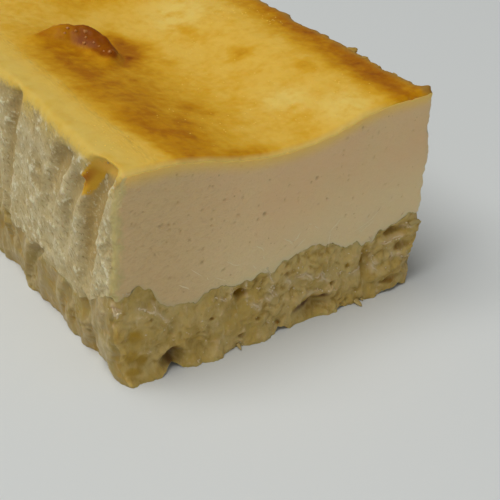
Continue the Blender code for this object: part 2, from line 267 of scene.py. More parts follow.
# Larger pores seen in the cut custard: place along X, height and radius.
SEEN_PORES = (
    (-4.6, 32.2, 0.8), (-20.1, 24.8, 0.7), (9, 37.3, 0.7), (0.6, 34.1, 0.5), (-28, 23.7, 0.55),
    (12.6, 31, 0.6), (-26.9, 47.6, 0.5), (-20.6, 37.8, 0.6), (-12.3, 32.3, 0.5), (-8, 26, 0.5),
    (-3.9, 40.2, 0.5), (1.6, 37.5, 0.5), (4.5, 34.8, 0.45), (18.4, 35.4, 0.5), (25.3, 38.1, 0.45),
    (32.7, 25.6, 0.45), (-19, 42.9, 0.5), (-15.2, 38.6, 0.6), (-30, 37.1, 0.6), (-31.7, 30.5, 0.5),
    (-23.4, 31.4, 0.6),
)
# Smaller pores are drawn. Along X and in height: where they start, how far they reach, and a power
# that crowds them to the left and to the top.
PORE_COUNT = 120
PORE_SPREAD = ((-37, 74, 1.5), (19, 29, 0.7))
PORE_RADII = (0.3, 0.55)
FLECKS_EACH = 3  # flecks along each shred
# Tears seen in the cut custard: from a place along X and a height to another.
SEEN_TEARS = (
    (-23, 24, -20, 21.2), (-14, 23, -9.5, 20.7), (-6.5, 24.5, -4, 22.5), (1, 24, 4, 21.5),
    (3, 22, 6, 24.5), (14.7, 22, 14.5, 17.5), (14, 21.5, 17.5, 24.5), (21.5, 19.5, 31, 25),
    (-4, 18, -1, 15.5), (-17, 20, -13.4, 17.6), (-26, 21, -23, 19), (5, 20.4, 7.6, 22.4),
    (24, 18.4, 28, 21),
)
# Torn points of mash that stand out: from a place along X, in front of the cut and in height, to
# another, with half width. The last ones stand upright at the right end of the custard's foot.
SPIKES = (
    (-10.5, -1.2, 1, -10.9, 3.4, 0.3, 0.6), (-9.9, -1.6, 1, -9.8, 2.4, 0.3, 0.35),
    (23.2, -1, 0.9, 23.7, 4.3, 0.3, 0.9), (24.4, -2, 0.9, 25.2, 2.9, 0.3, 0.6),
    (22.2, -2, 0.9, 21.6, 2.6, 0.3, 0.5), (-20.5, -1.5, 1, -21.4, 2.2, 0.3, 0.3),
    (38.6, 0.8, 16.9, 43.6, 0.2, 16.2, 1), (39, 1, 14.8, 42.6, 0.4, 14.2, 0.6),
)
UPRIGHT_SPIKES = 2  # how many of them
# Crumbs seen at the right rim: along X, behind the cut, height, radius, and stretch in X, Y, Z.
SEEN_CRUMBS = (
    (40.4, 28.8, 50.2, 1.1, 1.4, 1.2, 0.6), (39.6, 27.4, 50.3, 0.7, 1.3, 1.1, 0.7),
    (40.1, 23.4, 50.1, 0.8, 1.2, 1.3, 0.7), (39.8, 12.2, 50.3, 0.6, 1, 1.4, 0.7),
)
# Pale crumbs seen on the left side: along the side, height, and radius.
SEEN_SKIN_CRUMBS = (
    (9.5, 45.4, 0.45), (8.9, 44.6, 0.35), (9.9, 43.9, 0.4), (9.2, 42.6, 0.35), (10.2, 41.6, 0.3),
    (15.4, 47, 0.4), (17.2, 46, 0.35), (19.4, 48, 0.35), (21.5, 46.6, 0.4),
)
# Groups of tiny bubbles in the top, coloured pale as painted glints: place along X, behind the cut,
# and spread along both.
BUBBLE_GROUPS = (
    (9, 55, 6, 6), (26.8, 62, 6, 6), (33.5, 53, 4, 7), (17, 8, 8, 6), (10, 14, 10, 9),
    (24, 14, 8, 8), (8, 40, 16, 18), (-10, 16, 14, 12), (-34, 14, 4, 10),
)

# Bubbles on the blister's crest, lighter brown than it as painted highlights: along X, behind the
# cut, and radius.
BLISTER_BUBBLES = (
    (-16.4, 67.1, 0.5), (-15.2, 65.3, 0.4), (-13.3, 64.2, 0.6), (-15, 61.6, 0.55),
    (-14, 62.6, 0.35), (-12.6, 58.6, 0.35), (-13.2, 60, 0.3), (-11.6, 55.2, 0.45),
    (-12.4, 56.6, 0.3), (-17.8, 66, 0.35),
)

# ---- Grids, in millimetres between points ----
CUSTARD_STEP = 0.41
CUSTARD_STEPS_ALONG = (0.43, 0.9)  # at the cut and at the tin's end
CUSTARD_ROWS = 85
MASH_STEP = 0.27
MASH_STEPS_ALONG = (0.3, 0.62)
MASH_ROWS = 62
HIDDEN_RINGS = 7

# The sides of a block, as numbers that also choose a face's material.
CUT, RIGHT, BACK, LEFT, TOP, LOW = range(6)
ON_SIDE = 0.01  # a block point this near a side lies on it

CUSTARD_SLOT = "baked_cheese_custard"
MASH_SLOT = "mashed_sweet_potato"


# ---------------------------------------------------------------- plain curves and noise

def eased(t):
    """0 below 0, 1 above 1, and a smooth S between them."""
    t = np.clip(t, 0, 1)
    return t * t * (3 - 2 * t)


def hump(distance, half_width):
    """1 in the middle, falling smoothly to 0 at half_width."""
    return 1 - eased(np.abs(distance) / half_width)


def reach(u, v, ellipse):
    """How far out a place is from an ellipse, 1 on its outline: its middle, then half widths."""
    return np.hypot((u - ellipse[0]) / ellipse[2], (v - ellipse[1]) / ellipse[3])


def corner_values(index, seed):
    """A fixed random value from -1 to 1 for each whole-number corner of a lattice."""
    mixed = index[0] * 73856093 ^ index[1] * 19349663 ^ index[2] * 83492791 ^ seed * 40503
    mixed = ((mixed & 0xFFFFFFFF) ^ (mixed >> 13 & 0x7FFFF)) * 1274126177 & 0xFFFFFFFF
    return (mixed ^ mixed >> 16) / 2**31 - 1


def noise(x, y, z, cell, seed):
    """Smooth noise from -1 to 1: lattice values, a cell in mm apart, eased into each other."""
    scaled = np.stack(np.broadcast_arrays(x, y, z)) / cell
    low = np.floor(scaled).astype(np.int64)
    part = eased(scaled - low)
    total = 0
    for corner in np.ndindex(2, 2, 2):
        side = np.reshape(corner, (3,) + (1,) * (low.ndim - 1))
        weight = np.where(side == 1, part, 1 - part).prod(axis=0)
        total = total + weight * corner_values(low + side, seed)
    return total


def crumbly(x, y, z, cell, seed):
    """Noise with a finer noise on it, half as high and half as wide."""
    return (noise(x, y, z, cell, seed) + 0.5 * noise(x, y, z, cell / 2, seed + 1)) / 1.5


def cell_distances(u, v, cell, seed):
    """Distances, in cells, from each place to the nearest and second nearest scattered point.

    Each square of a lattice holds one point, set off from its middle by a fixed random amount.
    """
    place = np.stack((u, v)) / cell
    low = np.floor(place).astype(np.int64)
    found = []
    for step in np.ndindex(3, 3):
        square = low + np.reshape(step, (2,) + (1,) * (low.ndim - 1)) - 1
        index = (square[0], square[1], 0)
        offset = np.stack((corner_values(index, seed), corner_values(index, seed + 1)))
        point = square + 0.5 + 0.42 * offset
        found.append(np.hypot(*(place - point)))
    nearest = np.sort(np.stack(found), axis=0)
    return nearest[0], nearest[1]


# ---------------------------------------------------------------- the loaf's own shape

def valleys():
    """The valleys that show, then random ones round the rest of the paper sides."""
    found = list(SEEN_VALLEYS)
    draw = random.Random(VALLEY_SEED)
    start = FIRST_DRAWN_VALLEY
    while start < PAPER_SIDES - PLAIN_END:
        lean = draw.choice((-1, 1)) * draw.uniform(*VALLEY_LEAN)
        top = draw.choice(VALLEY_TOPS)
        foot = draw.uniform(VALLEY_LOWEST, VALLEY_FOOT_SHARE * top)
        calm = CALM if start > CALM_SIDE else 1
        depth = calm * draw.uniform(*VALLEY_DEPTH)
        half_width = draw.uniform(*VALLEY_HALF_WIDTH)
        found.append((start, lean, top, foot, half_width, depth))
        start += draw.uniform(*VALLEY_SPACING)
    return found


VALLEYS = valleys()


def valley_depth(along, z):
    """How deep the paper pressed in, at a place along the paper sides and a height."""
    deepest = 0 * z
    for start, lean, top, foot, half_width, depth in VALLEYS:
        down = np.clip((top - z) / (top - foot), 0, 1)
        floor = VALLEY_FLOOR * half_width
        aside = np.maximum(np.abs(along - start - lean * np.sqrt(down)) - floor, 0)
        wide = half_width * (1 - 0.4 * down) - floor
        fade = (1 - down) ** 0.6 * eased((top - z) / VALLEY_START)
        deepest = np.maximum(deepest, depth * fade * hump(aside, wide))
    return deepest


def side_push(along, z):
    """Outward push of a paper side: swollen low down, creased, uneven, and flared at the cut."""
    swell = SIDE_BULGE * np.sin(np.pi * np.clip(z / HEIGHT, 0, 1) ** 0.7)
    uneven = UNEVEN * noise(along, 0, z, UNEVEN_SIZE, UNEVEN_SEED)
    flare = CUT_FLARE * hump(PAPER_SIDES - along, CUT_FLARE_LENGTH)
    return swell - valley_depth(along, z) + uneven + flare


def pushed_side(along, z, distance, fine):
    """How far a point of a paper side moves out, and how far on along the side.

    The fine relief goes at a right angle to the side's pushed shape. It all fades out inwards.
    """
    step = 0.4
    slope = (side_push(along + step, z) - side_push(along - step, z)) / (2 * step)
    fine = fine * hump(distance, 3) / np.sqrt(1 + slope**2)
    return side_push(along, z) * hump(distance, REACH) + fine, -slope * fine


def mash_cut_push(x, z, interface):
    """Forward push of the cut mash: a foot that stands out, crags, and torn hollows."""
    below = eased((interface - z) / CRAG_START)
    push = FOOT_BULGE * (1 - np.clip(z / interface, 0, 1)) ** 0.7
    push = push + CRAG_HEIGHT * crumbly(x, 0, z, CRAG_SIZE, CRAG_SEED)
    for *hollow, depth in CUT_HOLLOWS:
        push = push - depth * hump(reach(x, z, hollow), HOLLOW_BLEND)
    return below * push


def flake_push(front, z):
    """Outward push of the right side where the flake of mash stands out."""
    return FLAKE_REACH * hump(z - FLAKE_PLACE, FLAKE_HALF_HEIGHT) * hump(front, FLAKE_LENGTH)


def interface_height(x, y):
    """Height of the face between mash and custard: lumps at the cut, softer lumps inside."""
    behind = y + LENGTH / 2
    at_cut = hump(behind, LUMP_DEPTH)
    inner = INNER_LUMPS * crumbly(x, y, 0, INNER_LUMP_SIZE, INNER_LUMP_SEED)
    height = BASE_HEIGHT + (1 - at_cut) * inner
    for middle, rise, half_width in CUT_LUMPS:
        height = height + at_cut * rise * hump(x - middle, half_width)
    return height + SMALL_LUMPS * noise(x, y, 0, SMALL_LUMP_SIZE, SMALL_LUMP_SEED)


def ragged_interface(x, y):
    """The face between the layers with its fine crags, which break up its line where it shows."""
    crags = 0.5 * crumbly(x, y, 0, 2.1, 61) + 0.4 * np.abs(noise(x, y, 0, 1.3, 63))
    tufts = sum(rise * hump(x - middle, half_width) for middle, rise, half_width in EDGE_TUFTS)
    crags = crags + tufts * hump(y + LENGTH / 2, TUFT_LENGTH)
    return interface_height(x, y) + crags + 0.5 * shingles(x, y, 4.2, 64)


def blister_rise(x, y):
    """A crescent: gentle inside its crest, steep outside, and tallest where it faces."""
    dx = x - BLISTER_CENTRE[0]
    dy = y + LENGTH / 2 - BLISTER_CENTRE[1]
    radius = np.hypot(dx, dy)
    turn = np.arctan2(dy, dx) - BLISTER_FACING
    turn = np.arctan2(np.sin(turn), np.cos(turn))
    inside = eased(radius / BLISTER_RADIUS) ** 1.5
    outside = hump(np.maximum(radius - BLISTER_RADIUS, 0), BLISTER_SLOPE)
    return BLISTER_HEIGHT * inside * outside * hump(turn, BLISTER_TURN)


def blister_share(x, y):
    """The blister's rise, from 0 to 1."""
    return np.clip(blister_rise(x, y) / BLISTER_HEIGHT, 0, 1)


def top_height(x, y):
    """Height of the top: a rim round a long hollow, with the blister on it."""
    hollow = np.cos(np.pi / 2 * np.clip(x / SAG_HALF_WIDTH, -1, 1)) ** 2
    to_end = eased((LENGTH / 2 - y) / END_RIM)
    wavy = TOP_WAVES * noise(x, y, 0, TOP_WAVE_SIZE, TOP_WAVE_SEED)
    return HEIGHT - SAG_DEPTH * hollow * to_end + blister_rise(x, y) + wavy


def rounded_drop(distance):
    """How far a top edge of EDGE_RADIUS has dropped at this distance in from the side."""
    short = EDGE_RADIUS - np.clip(distance, 0, EDGE_RADIUS)
    return EDGE_RADIUS - np.sqrt(EDGE_RADIUS**2 - short**2)


def round_corners(x, y, cut_radius):
    """The plan with its corners drawn in from square to round: large ones at the tin's end,
    and ones of cut_radius at the cut."""
    radius = np.where(y > 0, CORNER_RADIUS, cut_radius)
    straight_x, straight_y = WIDTH / 2 - radius, LENGTH / 2 - radius
    across = np.clip((np.abs(x) - straight_x) / radius, 0, 1)
    along = np.clip((np.abs(y) - straight_y) / radius, 0, 1)
    round_x = np.minimum(np.abs(x), straight_x) + radius * across * np.sqrt(1 - along**2 / 2)
    round_y = np.minimum(np.abs(y), straight_y) + radius * along * np.sqrt(1 - across**2 / 2)
    return np.sign(x) * round_x, np.sign(y) * round_y


# ---------------------------------------------------------------- fine relief
# The last two values of every noise are the size of its cells, in mm, and its seed.

def torn_share(along, z):
    """1 where the paper tore crumbs out of the skin, and 0 where the skin stayed whole."""
    share = eased(1.6 * noise(along, 0, z, 7, 78) - 0.2)
    for patch in TORN_PATCHES:
        share = np.maximum(share, hump(reach(along, z, patch), 1.3))
    return share


def skin_relief(along, z, deep):
    """The skin that the paper left: crumbs, leaning torn fibres and torn-out patches, all worn
    smooth in the valleys. Its patterns take in a valley's depth, so they don't stretch there."""
    lean = along - z + 0.8 * noise(along, deep, z, 2.7, 74)
    fibres = crumbly(lean * 1.2, deep, 0.28 * (along + z), 1.1, 71)
    broad = crumbly(along, deep, z, 2.4, 73)
    crumbs = 0.45 * np.clip(crumbly(along, deep, z, 1.4, 72) + 0.1, 0, 1)
    torn = 0.5 * torn_share(along, z) * crumbly(along, deep, z, 1.9, 79)
    rough = 1 - 0.6 * eased(deep / VALLEY_WORN)
    grain = 0.1 * noise(along, deep, z, 0.85, 75)
    fibrous = 0.08 * eased((FIBRE_TOP - z) / 12)
    return rough * (fibrous * fibres + 0.15 * broad + crumbs + torn) + grain


def pressed_mash(along, z):
    """Relief of mash pressed against the paper: ribs, soft lumps, small pits and a fine grain."""
    near = cell_distances(along, z, 2.4, 63)[0]
    chosen = eased(3 * noise(along, 0, z, 6, 65) - 0.6)
    pits = 0.5 * chosen * hump(near, 0.32)
    ribs = 0.75 * crumbly(along + 0.3 * z, 0, 0.3 * z, 2.6, 68)
    soft = 0.25 * crumbly(along, 0, z, 3.4, 67)
    return ribs + soft + 0.1 * crumbly(along, 0, z, 0.9, 69) - pits


def knob_share(x, front):
    """1 in the middle of the burnt knob on the corner, and 0 outside it."""
    return hump(np.hypot(x - KNOB[0], front - KNOB[1]), KNOB[2])


def top_relief(x, y):
    """Fine unevenness of the baked top, with wrinkles on the blister, and the burnt knob."""
    fine = 0.1 * crumbly(x, y, 0, 2.6, 81) + 0.035 * noise(x, y, 0, 0.9, 83)
    wrinkles = 0.7 * crumbly(x, y, 0, 2.6, 85) * eased(blister_share(x, y) * 2.5)
    return fine + wrinkles + KNOB_RISE * knob_share(x, y + LENGTH / 2)


def pores(x, z):
    """How far a place on the cut custard lies in a pore: 1 in its middle, and 0 outside it.

    After the pores that show come drawn ones, more of them at the left.
    """
    draw = np.random.default_rng(PORE_SEED)
    places = [
        start + span * draw.uniform(0, 1, PORE_COUNT) ** power for start, span, power in PORE_SPREAD
    ]
    drawn = zip(*places, draw.uniform(*PORE_RADII, PORE_COUNT))
    total = 0 * x
    for px, pz, radius in (*SEEN_PORES, *drawn):
        total = np.maximum(total, hump(np.hypot(x - px, z - pz), radius) * (0.4 + radius))
    return total


def custard_cut_relief(x, z):
    """Outward relief of the knife's cut: nearly flat, leathery towards the left, with pores."""
    leather = eased((-12 - x) / 14) * crumbly(x - z, 0, x + 2.2 * z, 1.9, 93)
    return 0.1 * noise(x, 0, z, 6, 91) + 0.05 * leather - 0.35 * pores(x, z)


def shingles(u, v, cell, seed):
    """Torn steps from 0 to 1: noise cut in levels, each a gentle rise that ends in a short drop."""
    level = 2.6 * crumbly(u, 0, v, cell, seed)
    share = level - np.floor(level)
    return share - eased((share - 0.86) / 0.14)


def torn_crags(s, z):
    """Relief of torn mash: soft lumps with clefts between them, torn steps, and a fine grain.

    The places are pushed about by noise first, so that the lumps and steps run unevenly.
    """
    warped_s = s + 1.2 * noise(s, 0, z, 2.6, 41)
    warped_z = z + 1.2 * noise(s, 0, z, 2.6, 43)
    near, far = cell_distances(warped_s, warped_z * 1.2, 3.1, 49)
    some = eased(0.55 + 1.1 * noise(s, 0, z, 7, 53))
    chunks = 0.4 * some * (eased((far - near) / 0.7) - 0.75)
    small = 0.18 * (shingles(warped_s, warped_z * 1.3, 2.4, 47) - 0.4)
    paste = 0.24 * crumbly(s, 0, z, 1.9, 57) + 0.15 * crumbly(s, 0, z, 0.8, 55)
    return paste + chunks + small


def pit_share(x, z):
    """1 in the middle of the cut mash's pits and 0 outside them, and how deep they are."""
    wobble = 0.35 * crumbly(x, 0, z, 1.1, 59)
    deepest = 0 * x
    inside = 0 * x
    for *pit, depth in PITS:
        share = hump(np.maximum(reach(x, z, pit) + wobble, 0), 1.25)
        inside = np.maximum(inside, share)
        deepest = np.maximum(deepest, depth * share)
    return inside, deepest


def ellipses(x, z, table):
    """1 inside the ellipses of a table and 0 well outside them, with uneven edges."""
    wobble = 0.4 * crumbly(x, 0, z, 1.6, 62)
    share = 0 * x
    for ellipse in table:
        share = np.maximum(share, hump(np.maximum(reach(x, z, ellipse) + wobble, 0), 1.3))
    return share


def pale_share(x, z):
    """1 along the pale torn shreds of the mash, and 0 away from them, with soft edges."""
    share = 0 * x
    for start_x, start_z, end_x, end_z, half_width in SEEN_SHREDS:
        run = np.array((end_x - start_x, end_z - start_z))
        t = ((x - start_x) * run[0] + (z - start_z) * run[1]) / (run @ run)
        t = np.clip(t, 0, 1)
        away = np.hypot(x - start_x - run[0] * t, z - start_z - run[1] * t)
        share = np.maximum(share, hump(away, 0.35 + 2.2 * half_width))
    share = np.maximum(0.8 * share, 0.85 * ellipses(x, z, PALE_LUMPS))
    return share * (0.75 + 0.4 * crumbly(x, 0, z, 1.2, 66))


def foot_notches(x):
    """How far the mash's lower edge at the cut is lifted off the table, in torn notches."""
    lift = 0 * x
    for middle, left_width, right_width, height in NOTCHES:
        half_width = np.where(x < middle, left_width, right_width)
        lift = np.maximum(lift, height * np.clip(1 - np.abs(x - middle) / half_width, 0, 1) ** 0.6)
    return lift * (1 + 0.4 * noise(x, 0, 0, 1.1, 59))


def toes(x, z):
    """Small ragged lobes of mash that stand out on the table along the lower edge."""
    out = np.clip(crumbly(x, 0, 0, 1.8, 58) + 0.1, 0, 1)
    return 1.2 * out * hump(z, 2.4) * (1 - hump(x + WIDTH / 2, 4))


def mash_front(x, z, interface):
    """How far the torn mash stands in front of the cut's plane."""
    below = eased((interface - z) / 0.9)
    crags = torn_crags(x, z) + toes(x, z) + 0.35 * pale_share(x, z) - pit_share(x, z)[1]
    lip, lip_height, lip_end = FOOT_LIP
    crags = crags + lip * hump(z, lip_height) * (1 - eased((x - lip_end) / 4))
    *foot, depth = TORN_FOOT
    return mash_cut_push(x, z, interface) + below * crags - depth * hump(reach(x, z, foot), 1.2)


def seam(x):
    """Height of the mash at the cut, without its crags."""
    return interface_height(x, 0 * x - LENGTH / 2)


def mash_at(x, z):
    """How far the torn mash stands in front of the cut's plane, at a place on the cut."""
    return mash_front(x, z, ragged_interface(x, 0 * x - LENGTH / 2))


# ---------------------------------------------------------------- the two layers

def faces_away(x, y):
    """Distances in from the left, right, back and front of the block."""
    return x + WIDTH / 2, WIDTH / 2 - x, LENGTH / 2 - y, y + LENGTH / 2


def along_paper(left, right, back, front):
    """Places along the paper sides, from the front left corner round to the front right one."""
    along = np.where(left < ON_SIDE, front, LENGTH + left)
    return np.where(right < ON_SIDE, LENGTH + WIDTH + back, along)


def place_custard(block):
    """The custard: block points, whose third value runs up from 0 to 1, to their real places."""
    left, right, back, front = faces_away(*block[:2])
    x, y = round_corners(*block[:2], CUSTARD_CUT_RADIUS)
    interface = ragged_interface(x, y)
    chips = 0.7 + 0.3 * np.clip(crumbly(x, 0, 0, 1.4, 95), 0, 1)
    edge = np.minimum(np.minimum(left, right), back)
    top = top_height(x, y) + top_relief(x, y) - rounded_drop(edge) - chips * hump(front, CUT_ROLL)
    z = interface + block[2] * (top - interface)
    ragged_rim = 1.1 * crumbly(0, front, z, 1.9, 97) * hump(z - HEIGHT, 5)
    ragged_rim = ragged_rim + 0.4 * crumbly(0, front, z, 1.2, 98) * hump(front, 6)
    for distance, along, sign in ((left, front, -1), (right, LENGTH + WIDTH + back, 1)):
        fine = skin_relief(along, z, valley_depth(along, z))
        if sign > 0:
            behind, below, radius, push = KNOB_SIDE
            knob = push * hump(np.hypot(front - behind, z - HEIGHT + below), radius)
            height, half_height, length, push = RIGHT_SWELL
            swell = push * hump(front, length) * hump(z - height, half_height)
            fine = fine + ragged_rim + knob + swell
        out, on = pushed_side(along, z, distance, fine)
        x = x + sign * out
        y = y - sign * on
    along = LENGTH + left
    fine = skin_relief(along, z, valley_depth(along, z))
    out, on = pushed_side(along, z, back, fine)
    x = x + on
    y = y + out
    y = y - custard_cut_relief(x, z) * hump(front, 1.2)
    return np.stack((x, y, z))


def place_mash(block):
    """The mash: block points, whose third value runs up from 0 to 1, to their real places."""
    left, right, back, front = faces_away(*block[:2])
    x, y = round_corners(*block[:2], MASH_CUT_RADIUS)
    interface = ragged_interface(x, y)
    z = block[2] * interface
    below = eased((interface - z) / 1.1)
    forward = mash_front(x, z, interface)
    lift = foot_notches(x) * hump(front, NOTCH_REACH) * (1 - block[2]) ** 3
    tuck_along, tuck_height, tuck_size, depth = FOOT_TUCK
    for distance, along, sign in ((left, front, -1), (right, LENGTH + WIDTH + back, 1)):
        flake = flake_push(front, z) if sign > 0 else 0
        tucked = depth * hump(along - tuck_along, tuck_size) * hump(z - tuck_height, tuck_size)
        push = (side_push(along, z) + flake - tucked) * hump(distance, REACH)
        x = x + sign * (push + pressed_mash(along, z) * below * hump(distance, 3))
    along = LENGTH + left
    fine = pressed_mash(along, z) * below
    y = y + side_push(along, z) * hump(back, REACH) + fine * hump(back, 3)
    y = y - forward * hump(front, REACH)
    jostle = 0.35 * below * hump(front, 2) * eased(z / 2)
    x = x + noise(x, 0, z, 1.6, 67) * jostle
    z = z + noise(x, 0, z, 1.6, 69) * jostle
    return np.stack((x, y, np.maximum(z + lift, 0)))


# ---------------------------------------------------------------- meshes

def growing_steps(length, first, last):
    """Places along a centred length, whose steps grow evenly from first to last."""
    count = round(2 * length / (first + last))
    t = np.linspace(0, 1, count + 1)
    return length * (first * t + (last - first) * t**2 / 2) / ((first + last) / 2) - length / 2


def grid_faces(ids):
    """The four-sided faces between the points of a two-way grid of point numbers."""
    corners = (ids[:-1, :-1], ids[1:, :-1], ids[1:, 1:], ids[:-1, 1:])
    return np.stack(corners, axis=-1).reshape(-1, 4)


def ring_cap(points, rim, rings):
    """Closes a rim, which runs anticlockwise, with rings drawn in step by step to a middle point.

    It returns the new points and the faces, four-sided ones and the three-sided ones at the pole.
    """
    outline = points[:, rim]
    middle = outline.mean(axis=1, keepdims=True)
    shares = np.linspace(1, 0, rings + 1)[1:-1]
    added = [middle + share * (outline - middle) for share in shares] + [middle]
    first = points.shape[1]
    loops = [rim] + [first + len(rim) * i + np.arange(len(rim)) for i in range(rings - 1)]
    quads = [
        np.stack((outer, np.roll(outer, -1), np.roll(inner, -1), inner), axis=-1)
        for outer, inner in zip(loops, loops[1:])
    ]
    pole = np.full(len(rim), first + len(rim) * (rings - 1))
    fan = np.stack((loops[-1], np.roll(loops[-1], -1), pole), axis=-1)
    return np.concatenate(added, axis=1), np.concatenate(quads), fan


def block_surface(step, steps_along, rows, ringed):
    """A closed grid over the six sides of a block, as points, lists of faces and their sides.

    The sides named in ringed, which never show, are closed by rings in place of a grid.
    """
    xs = np.linspace(-WIDTH / 2, WIDTH / 2, round(WIDTH / step) + 1)
    ys = growing_steps(LENGTH, *steps_along)
    ups = np.linspace(0, 1, rows + 1)
    ids = np.arange(len(xs) * len(ys) * len(ups)).reshape(len(xs), len(ys), len(ups))
    points = np.stack([axis.ravel() for axis in np.meshgrid(xs, ys, ups, indexing="ij")])
    sheets = {
        CUT: ids[:, 0, :],
        RIGHT: ids[-1, :, :],
        BACK: ids[:, -1, :].T,
        LEFT: ids[0, :, :].T,
        TOP: ids[:, :, -1],
        LOW: ids[:, :, 0].T,
    }
    faces = []
    sides = []
    for side, sheet in sheets.items():
        if side not in ringed:
            faces.append(grid_faces(sheet))
            sides.append(side)
            continue
        level = ids[:, :, -1 if side == TOP else 0]
        rim = np.concatenate((level[:-1, 0], level[-1, :-1], level[:0:-1, -1], level[0, :0:-1]))
        added, quads, fan = ring_cap(points, rim, HIDDEN_RINGS)
        points = np.concatenate((points, added), axis=1)
        turned = slice(None) if side == TOP else slice(None, None, -1)
        faces += [quads[:, turned], fan[:, turned]]
        sides += [side, side]
    used, compact = np.unique(np.concatenate([f.ravel() for f in faces]), return_inverse=True)
    ends = np.cumsum([f.size for f in faces])[:-1]
    faces = [c.reshape(f.shape) for c, f in zip(np.split(compact, ends), faces)]
    return points[:, used], faces, np.repeat(sides, [len(f) for f in faces])


def make_piece(name, points, faces, slot, materials, face_material=None, values=None):
    """A closed mesh from points in millimetres, at its real place, that rides on the body."""
    mesh = bpy.data.meshes.new(name)
    corners = np.concatenate([f.ravel() for f in faces]).astype(np.int32)
    counts = np.concatenate([np.full(len(f), f.shape[1]) for f in faces])
    mesh.vertices.add(points.shape[1])
    mesh.vertices.foreach_set("co", (points.T * MM).ravel())
    mesh.loops.add(len(corners))
    mesh.loops.foreach_set("vertex_index", corners)
    mesh.polygons.add(len(counts))
    mesh.polygons.foreach_set("loop_start", np.cumsum(counts) - counts)
    for material in materials:
        mesh.materials.append(material)
    if face_material is not None:
        mesh.polygons.foreach_set("material_index", face_material.astype(np.int32))
    mesh.update(calc_edges=True)
    mesh.shade_smooth()
    for value_name, value in (values or {}).items():
        attribute = mesh.attributes.new(value_name, "FLOAT", "POINT")
        attribute.data.foreach_set("value", value.astype(np.float32))
    if mesh.validate():
        raise RuntimeError(f"{name} has faces that don't fit together")
    piece = bpy.data.objects.new(name, mesh)
    bpy.context.scene.collection.objects.link(piece)
    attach(piece, "root")
    return piece


def sharpen_between(mesh, groups):
    """Marks as sharp the edges whose two faces are in different groups, as the knife left them."""
    edges = np.empty(len(mesh.loops), np.int32)
    mesh.loops.foreach_get("edge_index", edges)
    counts = np.empty(len(mesh.polygons), np.int32)
    mesh.polygons.foreach_get("loop_total", counts)
    of_loop = np.repeat(groups, counts)
    lowest = np.full(len(mesh.edges), 99)
    highest = np.full(len(mesh.edges), -1)
    np.minimum.at(lowest, edges, of_loop)
    np.maximum.at(highest, edges, of_loop)
    sharp = mesh.attributes.new("sharp_edge", "BOOLEAN", "EDGE")
    sharp.data.foreach_set("value", lowest != highest)


# ---------------------------------------------------------------- loose strips and crumbs

def closed_tubes(points, rings, around):
    """Points and faces of like tubes: each has rings of points, then its two end points.

    The points of each tube come as rows, and the faces close it from its first end to its last.
    """
    ids = np.arange(rings * around).reshape(rings, around)
    after = np.roll(ids, -1, axis=1)
    quads = np.stack((ids[:-1], after[:-1], after[1:], ids[1:]), axis=-1).reshape(-1, 4)
    start = np.full(around, ids.size)
    first_tip = np.stack((start, after[0], ids[0]), axis=-1)
    last_tip = np.stack((start + 1, ids[-1], after[-1]), axis=-1)
    tips = np.concatenate((first_tip, last_tip))
    first = points.shape[1] * np.arange(len(points))[:, None, None]
    return points.reshape(-1, 3).T, [(quads + first).reshape(-1, 4), (tips + first).reshape(-1, 3)]


def strips(paths, sides, normals, half_widths, thicknesses, around=8):
    """Closed strips that taper to a point at both ends, as points and faces.

    Each path has three or more points. A strip's section is an ellipse, half_width wide along its
    side and thickness deep along its normal, and both shrink towards the ends with a sine.
    """
    count, steps = paths.shape[:2]
    t = np.linspace(0, 1, steps)[1:-1]
    swell = np.sin(np.pi * t) ** 0.7
    angles = np.linspace(0, 2 * np.pi, around, endpoint=False)
    wide = (half_widths[:, None] * swell)[:, :, None, None] * np.cos(angles)[:, None]
    deep = (thicknesses[:, None] * swell)[:, :, None, None] * np.sin(angles)[:, None]
    rings = paths[:, 1:-1, None] + wide * sides[:, :, None] + deep * normals[:, :, None]
    points = np.concatenate((rings.reshape(count, -1, 3), paths[:, :1], paths[:, -1:]), axis=1)
    return closed_tubes(points, steps - 2, around)


def cut_strips(ends, bow, jag, lift, front_at, half_widths, thicknesses, steps=12):
    """Strips that lie on the cut. Ends hold places along X and heights; front_at gives the cut.

    Each runs straight from end to end, plus a sine as high as its bow, plus noise as high as jag.
    """
    start, end = ends[:, None, :2], ends[:, None, 2:]
    t = np.linspace(0, 1, steps)[:, None]
    run = end - start
    across = np.stack((-run[..., 1], run[..., 0]), axis=-1)
    flat = start + run * t + across * bow[:, None, None] * np.sin(np.pi * t)
    x, z = flat[..., 0], flat[..., 1]
    x, z = x + jag * noise(x, 0, z, 0.8, 121), z + jag * noise(x, 0, z, 0.8, 123)
    y = -LENGTH / 2 - front_at(x, z) - lift * np.sin(np.pi * t[:, 0])
    paths = np.stack((x, y, z), axis=-1)
    along = np.gradient(paths, axis=1)
    normals = np.broadcast_to((0.0, -1.0, 0.0), paths.shape)
    sides = np.cross(normals, along)
    sides /= np.linalg.norm(sides, axis=-1, keepdims=True)
    return strips(paths, sides[:, 1:-1], normals[:, 1:-1], half_widths, thicknesses)


def lumps(places, radii, stretch, seed, around=12, up=7):
    """Closed crumbs: spheres pushed in and out by noise, and stretched, as points and faces.

    The radius at each angle is the crumb's own, times one plus noise of the place on the sphere.
    """
    turn = np.linspace(0, 2 * np.pi, around, endpoint=False)
    height = np.linspace(-np.pi / 2, np.pi / 2, up + 2)[1:-1, None]
    wide = np.cos(height)
    ring = np.stack((wide * np.cos(turn), wide * np.sin(turn), np.sin(height) + 0 * turn), axis=-1)
    ball = np.concatenate((ring.reshape(-1, 3), ((0, 0, -1), (0, 0, 1))))
    here = places[:, None] + 1.3 * ball
    push = 1 + 0.4 * crumbly(here[..., 0] * 3, here[..., 1] * 3, here[..., 2] * 3, 2.6, seed)
    points = places[:, None] + radii[:, None, None] * push[..., None] * ball * stretch[:, None]
    return closed_tubes(points, up, around)


